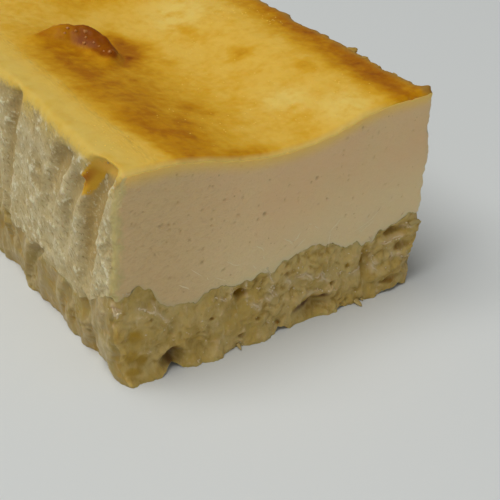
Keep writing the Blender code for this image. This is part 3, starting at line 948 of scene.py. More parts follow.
# ---------------------------------------------------------------- materials

def linear(code):
    """An sRGB hex colour as linear red, green, blue and alpha."""
    shares = [int(code[i : i + 2], 16) / 255 for i in (0, 2, 4)]
    return tuple(s / 12.92 if s <= 0.04045 else ((s + 0.055) / 1.055) ** 2.4 for s in shares) + (1,)


def feed(tree, socket, source):
    """Gives a socket a plain value, or the output, or a node's first output, that feeds it."""
    if isinstance(source, bpy.types.Node):
        source = next(output for output in source.outputs if output.enabled)
    if isinstance(source, bpy.types.NodeSocket):
        tree.links.new(source, socket)
    else:
        socket.default_value = source


def add_node(tree, kind, inputs=None, **settings):
    """Adds a shader node with its settings and what feeds its inputs."""
    node = tree.nodes.new("ShaderNode" + kind)
    for name, value in settings.items():
        setattr(node, name, value)
    for key, source in (inputs or {}).items():
        feed(tree, node.inputs[key], source)
    return node


A, B = 6, 7  # where a colour Mix node has its two colours
NOISE = ("Vector", "Scale", "Detail", "Roughness")  # what the rows of noises below hold


def tinted(tree, colours, name, layers):
    """A colour that goes over to each layer's colour as the layer's mask goes from low to high."""
    colour = colours[name]
    for mask, low, high, tint in layers:
        limits = {"Value": mask, "From Min": low, "From Max": high}
        share = add_node(tree, "MapRange", limits, interpolation_type="SMOOTHSTEP")
        colour = add_node(tree, "Mix", {0: share, A: colour, B: colours[tint]}, data_type="RGBA")
    return colour


def start_material(name, values):
    """A new material, its node tree and shader, the place on the cake in mm, and the mesh's values
    by name."""
    material = bpy.data.materials.new(name)
    material.use_nodes = True
    tree = material.node_tree
    place = add_node(tree, "TexCoord").outputs["Object"]
    in_mm = add_node(tree, "Mapping", {"Vector": place, "Scale": (1 / MM,) * 3})
    own = {v: add_node(tree, "Attribute", attribute_name=v).outputs["Fac"] for v in values}
    return material, tree, tree.nodes["Principled BSDF"], in_mm, own


def soften(shader, roughness, weight, depth):
    """Sets how food takes light: a soft gloss, and light that goes this deep, in mm, inside it."""
    shader.inputs["Roughness"].default_value = roughness
    shader.inputs["IOR"].default_value = 1.4
    shader.inputs["Subsurface Weight"].default_value = weight
    shader.inputs["Subsurface Radius"].default_value = (1, 0.6, 0.3)  # red goes deepest
    shader.inputs["Subsurface Scale"].default_value = depth * MM


def custard_cut_material(colours):
    """Baked cheese custard cut with a knife: smooth cream with pores, leathery at the left, with
    painted shade in the pores and on the left part.
    """
    values = ("depth", "from_left", "pore")
    material, tree, shader, place, own = start_material("baked_custard_knife_cut", values)
    lean = {"Vector": place, "Rotation": (0, -0.24, 0), "Scale": (2, 1, 1)}
    drawn_out = add_node(tree, "Mapping", lean, vector_type="TEXTURE")
    broad, grain, crowd, crumbs = (
        add_node(tree, "TexNoise", dict(zip(NOISE, row)))
        for row in (
            (place, 1 / 14, 2),
            (drawn_out, 1 / 0.8, 3, 0.7),
            (place, 1 / 6, 1),
            (place, 1 / 2.4, 3),
        )
    )
    limits = {"Value": own["from_left"], "From Min": 42, "From Max": 10, "To Min": 0.7}
    leather = add_node(tree, "MapRange", limits)
    dark = add_node(tree, "Math", {0: grain, 1: leather}, operation="MULTIPLY")
    # Small pores: round specks, larger where they crowd, darkened inside as painted shade.
    speck = add_node(tree, "TexVoronoi", {"Vector": place, "Scale": 1 / 1.5})
    limits = {"Value": crowd, "From Min": 0.4, "From Max": 0.75, "To Max": 0.17}
    size = add_node(tree, "MapRange", limits)
    inner = add_node(tree, "Math", {0: size, 1: 0.06}, operation="SUBTRACT")
    pore = add_node(tree, "MapRange", {"Value": speck, "From Min": size, "From Max": inner})
    ragged = {0: crumbs, 1: 4.2, 2: own["from_left"]}
    edge = add_node(tree, "Math", ragged, operation="MULTIPLY_ADD")
    layers = (
        (broad, 0.35, 0.65, "custard_warm"),
        (own["depth"], 10, 30, "custard_pale"),
        # Towards the left the cut darkens: a slightly browner custard, with painted shade of its
        # leathery grain.
        (own["from_left"], 34, 8, "custard_shade"),
        (pore, 0, 1, "custard_pore_shade"),
        (dark, 0.4, 1.05, "custard_leather"),
        (own["pore"], 0.1, 1, "custard_hollow"),
        (own["depth"], 4.6, 0.4, "custard_rim"),
        (edge, 4.6, 2.4, "cut_edge"),
    )
    feed(tree, shader.inputs["Base Color"], tinted(tree, colours, "custard", layers))
    fine = add_node(tree, "Bump", {"Height": dark, "Distance": 0.36 * MM, "Strength": 0.9})
    hole = {"Height": pore, "Distance": -0.25 * MM, "Strength": 0.5, "Normal": fine}
    feed(tree, shader.inputs["Normal"], add_node(tree, "Bump", hole))
    soften(shader, 0.5, 0.5, 2.0)
    return material


def baked_surface_material(colours):
    """Custard baked in a paper-lined tin: a thin golden skin on top, and a dry pale skin that
    tore in flakes where the paper came off, tan and smooth in the paper's valleys."""
    values = ("browning", "puffed", "pale", "light", "paper", "rim", "rolled")
    values += ("crease", "relief", "depth", "torn", "flap", "fold_top", "near_cut")
    material, tree, shader, place, own = start_material("baked_custard_browned_skin", values)
    turned = {"Vector": place, "Rotation": (0, 0, 0.3), "Scale": (1, 0.2, 1)}
    drawn_out = add_node(tree, "Mapping", turned)
    lean = {"Vector": place, "Rotation": (0.8, 0, 0), "Scale": (1, 3, 1)}
    combed = add_node(tree, "Mapping", lean, vector_type="TEXTURE")
    broad, small, lines, flakes, fibres, patches, wrinkle = (
        add_node(tree, "TexNoise", dict(zip(NOISE, row)))
        for row in (
            (place, 1 / 5, 2),
            (place, 1 / 1.8, 4),
            (drawn_out, 1 / 0.5, 2),
            (place, 1 / 0.7, 3, 0.65),
            (combed, 1 / 0.55, 2),
            (place, 1 / 7, 2),
            (place, 1 / 0.9, 3),
        )
    )

    # The browning is mottled, more so where it is strong, and less so on the blister.
    strong = {0: own["browning"], 1: 0.5, 2: 0.36}
    swing = add_node(tree, "Math", strong, operation="MULTIPLY_ADD")
    calm = add_node(tree, "MapRange", {"Value": own["puffed"], "To Min": 1, "To Max": 0.35})
    swing = add_node(tree, "Math", {0: swing, 1: calm}, operation="MULTIPLY")
    brown = own["browning"]
    for mottle, share in ((broad, 0.75), (small, 0.7)):
        centred = add_node(tree, "Math", {0: mottle, 1: 0.5}, operation="SUBTRACT")
        sized = add_node(tree, "Math", {0: centred, 1: share}, operation="MULTIPLY")
        brown = add_node(tree, "Math", {0: sized, 1: swing, 2: brown}, operation="MULTIPLY_ADD")
    blotch = add_node(tree, "Math", {0: broad, 1: own["pale"]}, operation="MULTIPLY")
    lined = add_node(tree, "Math", {0: lines, 1: own["paper"]}, operation="MULTIPLY")
    layers = (
        (own["light"], 0, 1, "top_light"),
        (brown, 0, 0.26, "top_gold"),
        (brown, 0.2, 0.5, "top_amber"),
        (brown, 0.44, 0.76, "top_brown"),
        (brown, 0.72, 1, "top_dark"),
        (own["pale"], 0, 1, "top_pale"),
        (blotch, 0.3, 0.6, "top_patch"),
        (lined, 0.38, 0.9, "top_lines"),
        (own["rim"], 0.1, 1, "top_rim"),
        (own["rolled"], 0.1, 1.3, "top_edge"),
    )
    top = tinted(tree, colours, "top_yellow", layers)

    crumbling = {0: flakes, 1: 1.1, 2: own["relief"]}
    crumbs = add_node(tree, "Math", crumbling, operation="MULTIPLY_ADD")
    layers = (
        (patches, 0.62, 0.4, "skin_pale"),
        (own["depth"], 8, 1, "skin_high"),
        (own["torn"], 0.1, 1.4, "skin_torn"),
        (own["crease"], 0.15, 0.8, "skin_valley"),
        (crumbs, 0.5, 0.1, "skin_pit"),
        # Painted shade in the gaps between the torn fibres.
        (fibres, 0.46, 0.3, "skin_gap"),
        (fibres, 0.58, 0.9, "skin_crumb"),
        (crumbs, 0.66, 1.05, "skin_crumb"),
        (own["flap"], 0.05, 0.4, "flap_ochre"),
        (own["flap"], 0.5, 0.95, "flap"),
        # The fold's upper part: painted light over its yellow, where the valley shades it.
        (own["fold_top"], 0.1, 0.9, "fold_top"),
        (own["near_cut"], 0.2, 1, "cut_edge"),
    )
    side = tinted(tree, colours, "skin_tan", layers)

    # The side's skin starts just below the rim, along a flaky line.
    flaky = add_node(tree, "Math", {0: flakes, 1: -4.5, 2: own["depth"]}, operation="MULTIPLY_ADD")
    limits = {"Value": flaky, "From Min": -1.6, "From Max": 0.6}
    share = add_node(tree, "MapRange", limits, interpolation_type="SMOOTHSTEP")
    colour = add_node(tree, "Mix", {0: share, A: top, B: side}, data_type="RGBA")
    feed(tree, shader.inputs["Base Color"], colour)

    limits = {"Value": own["depth"], "From Min": 0.5, "From Max": 3, "To Max": 0.8}
    dry = add_node(tree, "MapRange", limits)
    smooth = add_node(tree, "MapRange", {"Value": own["flap"], "To Min": 1, "To Max": 0.1})
    torn = add_node(tree, "Math", {0: dry, 1: smooth}, operation="MULTIPLY")
    bump = add_node(tree, "Bump", {"Height": wrinkle, "Distance": 0.12 * MM, "Strength": 0.4})
    layers = ((lined, 0.12, 0.5), (flakes, 0.28, torn), (fibres, 0.22, torn))
    for height, distance, strength in layers:
        layer = {"Height": height, "Distance": distance * MM, "Strength": strength}
        bump = add_node(tree, "Bump", {**layer, "Normal": bump})
    feed(tree, shader.inputs["Normal"], bump)
    soften(shader, 0.5, 0.35, 1.4)
    shader.inputs["Specular IOR Level"].default_value = 0.12
    gloss = {"Value": own["depth"], "From Min": 0, "From Max": 2, "To Min": 0.4, "To Max": 0.6}
    feed(tree, shader.inputs["Roughness"], add_node(tree, "MapRange", gloss))
    return material


def mash_material(name, colours, main):
    """Mashed sweet potato: a moist olive-tan paste, yellower in patches, with paler fibres, and
    painted highlight and shade: paler raised lumps, darker clefts and pits.
    """
    values = ("relief", "pale", "pit", "orange", "peel")
    material, tree, shader, place, own = start_material(name, values)
    lean = {"Vector": place, "Rotation": (0, 0.6, 0), "Scale": (1, 1, 0.25)}
    combed = add_node(tree, "Mapping", lean)
    broad, spots, strands = (
        add_node(tree, "TexNoise", dict(zip(NOISE, row)))
        for row in ((place, 1 / 6, 3), (place, 1 / 2.2, 4, 0.6), (combed, 1 / 0.7, 2))
    )
    lumpy = {0: spots, 1: 1.6, 2: own["relief"]}
    raised = add_node(tree, "Math", lumpy, operation="MULTIPLY_ADD")
    layers = (
        (broad, 0.4, 0.62, main + "_ochre"),
        # Raised lumps paler and clefts darker amber: partly the mash's own colour, partly painted
        # highlight and shade.
        (raised, 0.86, 1.45, main + "_pale"),
        (raised, 0.75, 0.2, "mash_amber"),
        (strands, 0.56, 0.95, "fibre"),
        (own["pale"], 0, 1.1, "shred"),
        # Pits darker amber: the mash's own colour with painted shade.
        (own["pit"], 0.1, 1, "mash_deep"),
        (own["orange"], 0, 1, "mash_orange"),
        (own["peel"], 0, 1, "peel"),
    )
    feed(tree, shader.inputs["Base Color"], tinted(tree, colours, main, layers))
    bump = add_node(tree, "Bump", {"Height": spots, "Distance": 0.4 * MM, "Strength": 0.7})
    fine = {"Height": strands, "Distance": 0.15 * MM, "Strength": 0.6, "Normal": bump}
    feed(tree, shader.inputs["Normal"], add_node(tree, "Bump", fine))
    soften(shader, 0.42, 0.5, 1.6)
    return material


def plain_material(name, colour, roughness):
    """One even colour, for pieces too small to carry a pattern, and for the table top."""
    material = bpy.data.materials.new(name)
    material.use_nodes = True
    shader = material.node_tree.nodes["Principled BSDF"]
    shader.inputs["Base Color"].default_value = colour
    soften(shader, roughness, 0, 1)
    return material


# ---------------------------------------------------------------- what a user can change

def colour_property(name, description, code):
    text = {"name": name, "description": description}
    return FloatVectorProperty(**text, subtype="COLOR", size=4, min=0, max=1, default=linear(code))


def step_property(name, description, step, least):
    text = {"name": name, "description": description, "subtype": "DISTANCE", "unit": "LENGTH"}
    return FloatProperty(**text, default=step * MM, min=least * MM)


def count_property(name, description, count):
    return IntProperty(name=name, description=description, default=count, min=0)


class CheesecakeColours(bpy.types.PropertyGroup):
    """The colours of the layers, of the loose pieces and of the table top"""

    custard: colour_property("Custard", "Cut custard", "eccb96")
    custard_warm: colour_property("Warm custard", "Warmer patches of the cut custard", "edc894")
    custard_pale: colour_property("Pale custard", "Cut custard near the mash", "f0d6a2")
    custard_rim: colour_property("Rim", "Cut custard just below the top", "f6d06a")
    # A slightly browner custard, with painted shade of the leathery grain.
    custard_shade: colour_property("Leathery side", "Leathery left part of the cut", "e2c38d")
    # Painted shade inside the small pores.
    custard_pore_shade: colour_property("Pores", "Inside the small pores", "cfb07a")
    custard_hollow: colour_property("Larger pores", "Shaded inside of larger pores", "ccab75")
    cut_edge: colour_property("Cut's left edge", "Crumbly left edge of the cut custard", "ccba7c")
    custard_leather: colour_property("Leathery custard", "Shaded grain of the cut", "cca878")
    tear: colour_property("Tears", "Thin pale tears in the cut", "f6e2b4")
    top_yellow: colour_property("Top, least baked", "Yellow between the browned bands", "e6ba4c")
    top_gold: colour_property("Top, golden", "Lightly browned top", "dba628")
    top_amber: colour_property("Top, amber", "Browned top", "c88c0c")
    top_brown: colour_property("Top, brown", "Well browned top", "ae6c04")
    top_dark: colour_property("Top, dark", "Darkest part of the blister", "8c4800")
    top_light: colour_property("Top, light", "Lighter patches of the top", "e9c866")
    top_edge: colour_property("Top at the cut", "Pale edge where the top rolls over", "e0c06c")
    top_pale: colour_property("Top under paper", "Top that the paper kept pale", "dcbd5e")
    top_patch: colour_property("Top, yellow patches", "Yellower patches of the pale top", "d8b046")
    top_rim: colour_property("Top, right rim", "Olive brown rim and the burnt knob on it", "a07a36")
    top_lines: colour_property("Paper lines", "Fine lines in the pale top", "c6a248")
    skin_pale: colour_property("Skin", "Dry skin on the paper sides", "c9b88b")
    skin_tan: colour_property("Skin, torn", "Where the skin is torn", "c0ac7c")
    skin_torn: colour_property("Skin, crumbled", "Where crumbs tore out of the skin", "b09a6a")
    skin_valley: colour_property("Valleys", "Smooth skin in the paper's valleys", "b69b62")
    skin_pit: colour_property("Skin, pits", "Shaded pits in the torn skin", "a8905a")
    # Painted shade between the torn fibres of the skin.
    skin_gap: colour_property("Skin, gaps", "Gaps between the torn fibres of the skin", "ac9666")
    skin_crumb: colour_property("Skin, crumbs", "Pale crumbs on the torn skin", "e0d6b0")
    skin_high: colour_property("Upper skin", "Paper sides near the top", "cfb262")
    flap_ochre: colour_property("Fold, ochre", "Fold near the front left corner", "d8a834")
    # Painted light on the fold's yellow upper part, which lies in the valley's shade.
    fold_top: colour_property("Fold, top", "Yellow upper part of the fold", "f0c258")
    flap: colour_property("Fold, brown", "Browned part of the fold", "b87420")
    mash: colour_property("Mash", "Mashed sweet potato", "cdb26c")
    mash_ochre: colour_property("Mash, ochre", "Yellower mash", "c2a454")
    # The pressed mash on the sides is darker than the cut mash: its own pressed surface, with
    # painted shade.
    pressed: colour_property("Pressed mash", "Mash that lay against the paper", "a68e56")
    pressed_ochre: colour_property("Pressed mash, ochre", "Yellower pressed mash", "a8904a")
    # Partly painted highlight on the raised lumps of the pressed mash.
    pressed_pale: colour_property("Pressed mash, pale", "Paler pressed mash", "c0aa74")
    # Partly painted highlight on the raised lumps of the mash.
    mash_pale: colour_property("Mash, pale", "Paler lumps in the mash", "e2c694")
    # Painted shade in the clefts, with the mash's own more saturated amber.
    mash_amber: colour_property("Mash, amber", "Clefts between the mash's lumps", "b08f3e")
    # Painted shade with the mash's own amber, in its pits.
    mash_deep: colour_property("Mash, deep", "Mash in pits and clefts", "96701c")
    mash_orange: colour_property("Mash, orange", "Moist flesh at the front left corner", "b08c24")
    fibre: colour_property("Fibres", "Fibres in the mash", "d6c08a")
    shred: colour_property("Shreds", "Pale torn shreds on the mash", "dec698")
    torn_point: colour_property("Torn points", "Points of mash torn out along its foot", "bea666")
    fleck: colour_property("Flecks", "Tiny flecks torn out of the mash", "decca2")
    peel: colour_property("Peel", "Bits of peel in the mash", "6e4e30")
    # Painted highlights: the blister's bubbles are lighter brown than the blister.
    browned_bubble: colour_property("Browned bubbles", "Bubbles on the blister", "b87838")
    # Painted glints: the bubbles' pale colour stands in for the light they catch.
    bubble: colour_property("Bubbles", "Tiny glossy bubbles in the top", "f8d060")
    crumb: colour_property("Crumbs", "Browned crumbs at the rim", "b08a38")
    floor: colour_property("Floor", "Table top", "dfe2e0")


class CheesecakeSizes(bpy.types.PropertyGroup):
    """How fine the two layers' grids are, and how many loose pieces are drawn"""

    custard_step: step_property("Custard grid", "From point to point", CUSTARD_STEP, 0.3)
    mash_step: step_property("Mash grid", "From point to point", MASH_STEP, 0.2)
    crumb_count: count_property("Crumbs", "Browned crumbs along the right rim", 8)
    skin_crumb_count: count_property("Skin crumbs", "Pale crumbs on the left side", 110)
    # How many bubbles with pale painted glints the top gets.
    glint_bubble_count: count_property("Bubbles", "Tiny glossy bubbles in the top", 220)
    shred_count: count_property("Shreds", "Small pale shreds spread over the cut mash", 14)
    fleck_count: count_property("Flecks", "Tiny pale flecks spread over the cut mash", 70)
    tear_count: count_property("Tears", "Thin pale tears in the cut custard", 8)


def colour_table(scene):
    """The colours as plain values, by name."""
    group = scene.cheesecake_colours
    return {name: tuple(getattr(group, name)) for name in CheesecakeColours.__annotations__}


# ---------------------------------------------------------------- operators

def browning(x, y):
    """How far the top has browned, from 0 to about 1: patches and bands laid over each other."""
    front = y + LENGTH / 2
    spared = 1 + 0 * x
    for *patch, strength in BROWN_PATCHES:
        spared = spared * (1 - strength * np.exp(-2 * reach(x, front, patch) ** 2))
    spared = spared * (1 - 0.55 * hump(LENGTH - front, END_BAND))
    wander = 0.9 * crumbly(x, y, 0, 4, 101)
    edge = PALE_EDGE + wander - PALE_EDGE_SHIFT * eased((front - 4) / 22)
    soft = 3 + 1.8 * eased(front / 30)
    total = 0.07 + np.minimum(1 - spared, DARKEST) * eased((x - edge + 1.4) / soft)
    uneven = 1 - 0.3 * eased((-13.5 - x) / 5) + 0.14 * crumbly(x, y, 0, 3, 103)
    blister = eased(blister_share(x, y) * 3) * uneven
    return np.maximum(total, np.maximum(blister, 0.85 * knob_share(x, front)))


def flap_share(along, z):
    """The browned fold in the first valley: up to a half where it is ochre, and 1 where brown."""
    inside = FLAP_CREST[0] + FLAP_CREST[1] * (HEIGHT - z) - along
    place, height, fall = FLAP_FOOT
    foot = np.clip(height - fall * (along - place), *FLAP_FLOOR)
    low = z - foot + 1.6 * crumbly(along, 0, z, 1.6, 77)
    ochre = eased(inside / 0.7) * eased((along - 3) / 1.5) * eased(low / 2.2)
    brown = hump(inside - 0.9, 2.3) * hump(z - FLAP_BROWN[0], FLAP_BROWN[1])
    return ochre * (0.26 + 0.24 * eased((along - 7) / 3) + 0.5 * brown)


def custard_values(block, points):
    """What the custard's points tell its materials, from 0 to about 1 or in mm."""
    x, y, z = points
    left, right, back, front = faces_away(*block[:2])
    along = along_paper(left, right, back, front)
    deep = valley_depth(along, z)
    plan = round_corners(*block[:2], CUSTARD_CUT_RADIUS)
    place, half_width, low = FOLD_TOP_LIT
    return {
        "depth": top_height(*plan) + top_relief(*plan) - z,
        "browning": browning(x, y),
        "pale": hump(left, PALE_STRIP) * 0.8,
        "crease": deep / VALLEY_WORN,
        "relief": skin_relief(along, z, deep),
        "from_left": left,
        "rolled": hump(front, 2) * (1 - 0.9 * eased((x - 22) / 9)),
        "paper": hump(x - PAPER_LINES[0], PAPER_LINES[1]),
        "rim": np.maximum(0.85 * hump(right, RIM_BAND), knob_share(x, front)),
        "near_cut": hump(along, 2.4) * eased((HEIGHT - z) / 6),
        "light": sum(np.exp(-2 * reach(x, front, patch) ** 2) for patch in LIGHT_PATCHES),
        "pore": pores(x, z),
        "torn": torn_share(along, z) * eased((along - 8) / 5),
        "flap": flap_share(along, z),
        "fold_top": hump(along - place, half_width) * eased((z - low) / 4),
        "puffed": np.clip(2 * blister_share(x, y), 0, 1),
    }


def mash_values(block, points):
    """What the mash's points tell its materials, from 0 to about 1."""
    x, z = points[0], points[2]
    away = faces_away(*block[:2])
    front = away[-1]
    on_cut = hump(front, 1.5)
    pressed = pressed_mash(along_paper(*away), z)
    return {
        "pit": on_cut * pit_share(x, z)[0],
        "relief": np.where(front > 0.5, pressed, torn_crags(x, z)),
        "pale": on_cut * pale_share(x, z),
        "orange": on_cut * ellipses(x, z, ORANGE),
        "peel": hump(front, 3) * ellipses(x, z, PEEL),
    }


class CHEESECAKE_OT_custard(bpy.types.Operator):
    """Adds the baked cheese custard, with its browned top and its paper sides"""

    bl_idname = "cheesecake.custard"
    bl_label = "Custard"

    def execute(self, context):
        colours = colour_table(context.scene)
        step = context.scene.cheesecake_sizes.custard_step / MM
        block, faces, sides = block_surface(step, CUSTARD_STEPS_ALONG, CUSTARD_ROWS, (LOW,))
        points = place_custard(block)
        materials = [custard_cut_material(colours), baked_surface_material(colours)]
        look = (materials, sides != CUT, custard_values(block, points))
        piece = make_piece("baked_custard", points, faces, CUSTARD_SLOT, *look)
        sharpen_between(piece.data, sides == LOW)
        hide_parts("cheese_custard")
        return {"FINISHED"}


class CHEESECAKE_OT_mash(bpy.types.Operator):
    """Adds the base of mashed sweet potato, torn where the knife went through"""

    bl_idname = "cheesecake.mash"
    bl_label = "Mash"

    def execute(self, context):
        colours = colour_table(context.scene)
        step = context.scene.cheesecake_sizes.mash_step / MM
        block, faces, sides = block_surface(step, MASH_STEPS_ALONG, MASH_ROWS, (LOW, TOP))
        points = place_mash(block)
        materials = [
            mash_material("sweet_potato_mash_cut", colours, "mash"),
            # The sides' mash, darker than the cut mash partly as painted shade.
            mash_material("sweet_potato_mash_pressed", colours, "pressed"),
        ]
        look = (materials, sides != CUT, mash_values(block, points))
        piece = make_piece("sweet_potato_mash", points, faces, MASH_SLOT, *look)
        sharpen_between(piece.data, (sides == TOP) + 2 * (sides == LOW))
        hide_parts("sweet_potato_base")
        return {"FINISHED"}


def add_small(name, surface, slot, finish, colour, roughness=0.6):
    """A piece of one even colour, from its points and faces."""
    make_piece(name, *surface, slot, [plain_material(finish, colour, roughness)])


def drawn_ends(draw, x, z, facing, lengths):
    """Ends of short strips that start at these places, at drawn angles and of drawn lengths."""
    angle = draw.normal(*facing, len(x))
    length = draw.uniform(*lengths, len(x))
    return np.stack((x, z, x + length * np.cos(angle), z + length * np.sin(angle)), axis=-1)


def add_shreds(draw, count, colours):
    """Pale shreds on the cut mash: those that show, then drawn ones. It returns their ends."""
    x = draw.uniform(-38, 40, count)
    z = draw.uniform(0.08, 0.93, count) * seam(x)
    drawn = drawn_ends(draw, x, z, (-0.5, 0.5), (0.7, 1.8))
    seen = np.array(SEEN_SHREDS)
    ends = np.concatenate((seen[:, :4], drawn))
    widths = 0.6 * np.concatenate((seen[:, 4], draw.uniform(0.16, 0.32, count)))
    bow = draw.uniform(-0.16, 0.16, len(ends))
    shreds = cut_strips(ends, bow, 0.3, 0.06, mash_at, widths, 0.5 * widths)
    add_small("mash_shreds", shreds, MASH_SLOT, "sweet_potato_torn_fibre", colours["shred"])
    return ends


def add_flecks(draw, count, ends, colours):
    """Tiny flecks torn out of the mash: some along each shred, and some spread over the cut."""
    t = draw.uniform(0, 1, (len(ends), FLECKS_EACH))
    x = ends[:, :1] * (1 - t) + ends[:, 2:3] * t
    z = ends[:, 1:2] * (1 - t) + ends[:, 3:] * t
    spread_x = draw.uniform(-39, 41, count)
    spread_z = draw.uniform(0.1, 0.95, count) * seam(spread_x)
    x = np.concatenate((x.ravel() + draw.normal(0, 0.25, t.size), spread_x))
    z = np.concatenate((z.ravel() + draw.normal(0, 0.25, t.size), spread_z))
    radii = draw.uniform(0.08, 0.24, len(x))
    places = np.stack((x, -LENGTH / 2 - mash_at(x, z), np.maximum(z, 0.3)), axis=-1)
    flecks = lumps(places, radii, draw.uniform(0.5, 1.5, (len(x), 3)), 117, 8, 5)
    add_small("mash_flecks", flecks, MASH_SLOT, "sweet_potato_torn_fleck", colours["fleck"])


def add_points(colours):
    """Torn points of mash along its foot, and upright ones at its right end."""
    spikes = np.array(SPIKES)
    t = np.linspace(0, 1, 12)[:, None]
    paths = spikes[:, None, :3] * (1 - t) + spikes[:, None, 3:6] * t
    paths[..., 1] = -LENGTH / 2 - paths[..., 1]
    paths += 0.25 * noise(paths[..., 0], paths[..., 1], paths[..., 2], 0.9, 125)[..., None]
    upright = (np.arange(len(spikes)) >= len(spikes) - UPRIGHT_SPIKES)[:, None, None]
    sides = np.where(upright, (0.0, 0.0, 1.0), (1.0, 0.0, 0.0)) + 0 * paths[:, 1:-1]
    normals = np.where(upright, (0.0, 1.0, 0.0), (0.0, 0.0, 1.0)) + 0 * paths[:, 1:-1]
    points = strips(paths, sides, normals, spikes[:, 6], np.full(len(spikes), 0.4))
    finish = ("sweet_potato_torn_point", colours["torn_point"], 0.5)
    add_small("mash_points", points, MASH_SLOT, *finish)


def add_tears(draw, count, colours):
    """Thin pale tears in the cut custard: those that show, then drawn ones just above the mash."""
    x = draw.uniform(-32, 34, count)
    z = seam(x) + draw.uniform(1, 7, count)
    drawn = drawn_ends(draw, x, z, (2.2, 0.6), (0.8, 2.2))
    ends = np.concatenate((np.array(SEEN_TEARS), drawn))
    bow = draw.uniform(-0.1, 0.1, len(ends))
    widths = draw.uniform(0.08, 0.17, len(ends))
    tears = cut_strips(ends, bow, 0.15, 0, custard_cut_relief, widths, 0.03 + 0 * widths)
    add_small("custard_tears", tears, CUSTARD_SLOT, "baked_custard_torn_edge", colours["tear"])


class CHEESECAKE_OT_shreds(bpy.types.Operator):
    """Adds the pale shreds that the knife tore out of the mash, and the tears in the custard"""

    bl_idname = "cheesecake.shreds"
    bl_label = "Shreds and tears"

    def execute(self, context):
        colours = colour_table(context.scene)
        sizes = context.scene.cheesecake_sizes
        draw = np.random.default_rng(SHRED_SEED)
        ends = add_shreds(draw, sizes.shred_count, colours)
        add_flecks(draw, sizes.fleck_count, ends, colours)
        add_points(colours)
        add_tears(draw, sizes.tear_count, colours)
        return {"FINISHED"}


def add_rim_crumbs(draw, count, colours):
    """Browned crumbs down from the right rim: drawn ones, then those that show."""
    y = -LENGTH / 2 + LENGTH * draw.uniform(0.01, 0.9, count)
    along = LENGTH + WIDTH + LENGTH / 2 - y
    drop = draw.uniform(0, 1, count) ** 2.5 * 6
    radii = draw.uniform(0.2, 0.34, count)
    x = WIDTH / 2 + side_push(along, HEIGHT - drop) - 0.3 - 0.6 * hump(drop, 1.5)
    places = np.stack((x, y, HEIGHT - drop - 0.2), axis=-1)
    seen = np.array(SEEN_CRUMBS)
    places = np.concatenate((places, seen[:, :3] - (0, LENGTH / 2, 0)))
    radii = np.concatenate((radii, seen[:, 3]))
    stretch = np.concatenate((draw.uniform(0.6, 1.3, (count, 3)), seen[:, 4:]))
    crumbs = lumps(places, radii, stretch, 111, 18, 11)
    finish = ("baked_custard_browned_crumb", colours["crumb"])
    add_small("browned_crumbs", crumbs, CUSTARD_SLOT, *finish)


def add_skin_crumbs(draw, count, colours):
    """Pale crumbs on the skin of the left side, most of them near the cut."""
    along = np.abs(draw.normal(0, 16, count)) + 0.6
    z = draw.uniform(17, 49.5, count)
    seen = np.array(SEEN_SKIN_CRUMBS)
    along, z = np.concatenate((along, seen[:, 0])), np.concatenate((z, seen[:, 1]))
    radii = np.concatenate((draw.uniform(0.08, 0.2, count), seen[:, 2]))
    relief = skin_relief(along, z, valley_depth(along, z))
    out, on = pushed_side(along, z, 0 * z, relief)
    places = np.stack((-WIDTH / 2 - out, along + on - LENGTH / 2, z), axis=-1)
    stretch = draw.uniform((0.3, 0.7, 0.7), (0.6, 1.5, 1.5), (len(z), 3))
    crumbs = lumps(places, radii, stretch, 119, 10, 6)
    finish = ("baked_custard_pale_crumb", colours["skin_pale"])
    add_small("skin_crumbs", crumbs, CUSTARD_SLOT, *finish)


def on_top(x, y, radii, sunk):
    """Places of bubbles in the top, sunk by this share of their radii."""
    return np.stack((x, y, top_height(x, y) + top_relief(x, y) - sunk * radii), axis=-1)


def add_bubbles(draw, count, colours):
    """Tiny flat bubbles in groups on the top, pale as painted glints, and the rounder ones on the
    blister's crest, lighter brown as painted highlights.
    """
    near = np.array(BUBBLE_GROUPS)[draw.integers(0, len(BUBBLE_GROUPS), count)]
    x = near[:, 0] + near[:, 2] * draw.normal(0, 0.5, count)
    behind = np.maximum(near[:, 1] + near[:, 3] * draw.normal(0, 0.5, count), 1)
    radii = draw.uniform(0.08, 0.2, count)
    flat = np.tile((1, 1, 0.5), (count, 1))
    bubbles = lumps(on_top(x, behind - LENGTH / 2, radii, 0.1), radii, flat, 113, 10, 5)
    # The bubbles' pale colour paints their glints.
    finish = ("baked_custard_glossy_bubble", colours["bubble"], 0.24)
    add_small("glossy_bubbles", bubbles, CUSTARD_SLOT, *finish)

    x, behind, radii = np.array(BLISTER_BUBBLES).T
    round_ones = np.ones((len(x), 3))
    bubbles = lumps(on_top(x, behind - LENGTH / 2, radii, 0.5), radii, round_ones, 127, 18, 11)
    # The blister's bubbles are lighter brown as painted highlights.
    finish = ("baked_custard_browned_bubble", colours["browned_bubble"], 0.28)
    add_small("blister_bubbles", bubbles, CUSTARD_SLOT, *finish)


class CHEESECAKE_OT_crumbs(bpy.types.Operator):
    """Adds the crumbs at the right rim and on the left side, and the glossy bubbles in the top,
    coloured as painted glints and highlights
    """

    bl_idname = "cheesecake.crumbs"
    bl_label = "Crumbs and bubbles"

    def execute(self, context):
        colours = colour_table(context.scene)
        sizes = context.scene.cheesecake_sizes
        draw = np.random.default_rng(CRUMB_SEED)
        add_rim_crumbs(draw, sizes.crumb_count, colours)
        add_skin_crumbs(draw, sizes.skin_crumb_count, colours)
        add_bubbles(draw, sizes.glint_bubble_count, colours)
        return {"FINISHED"}


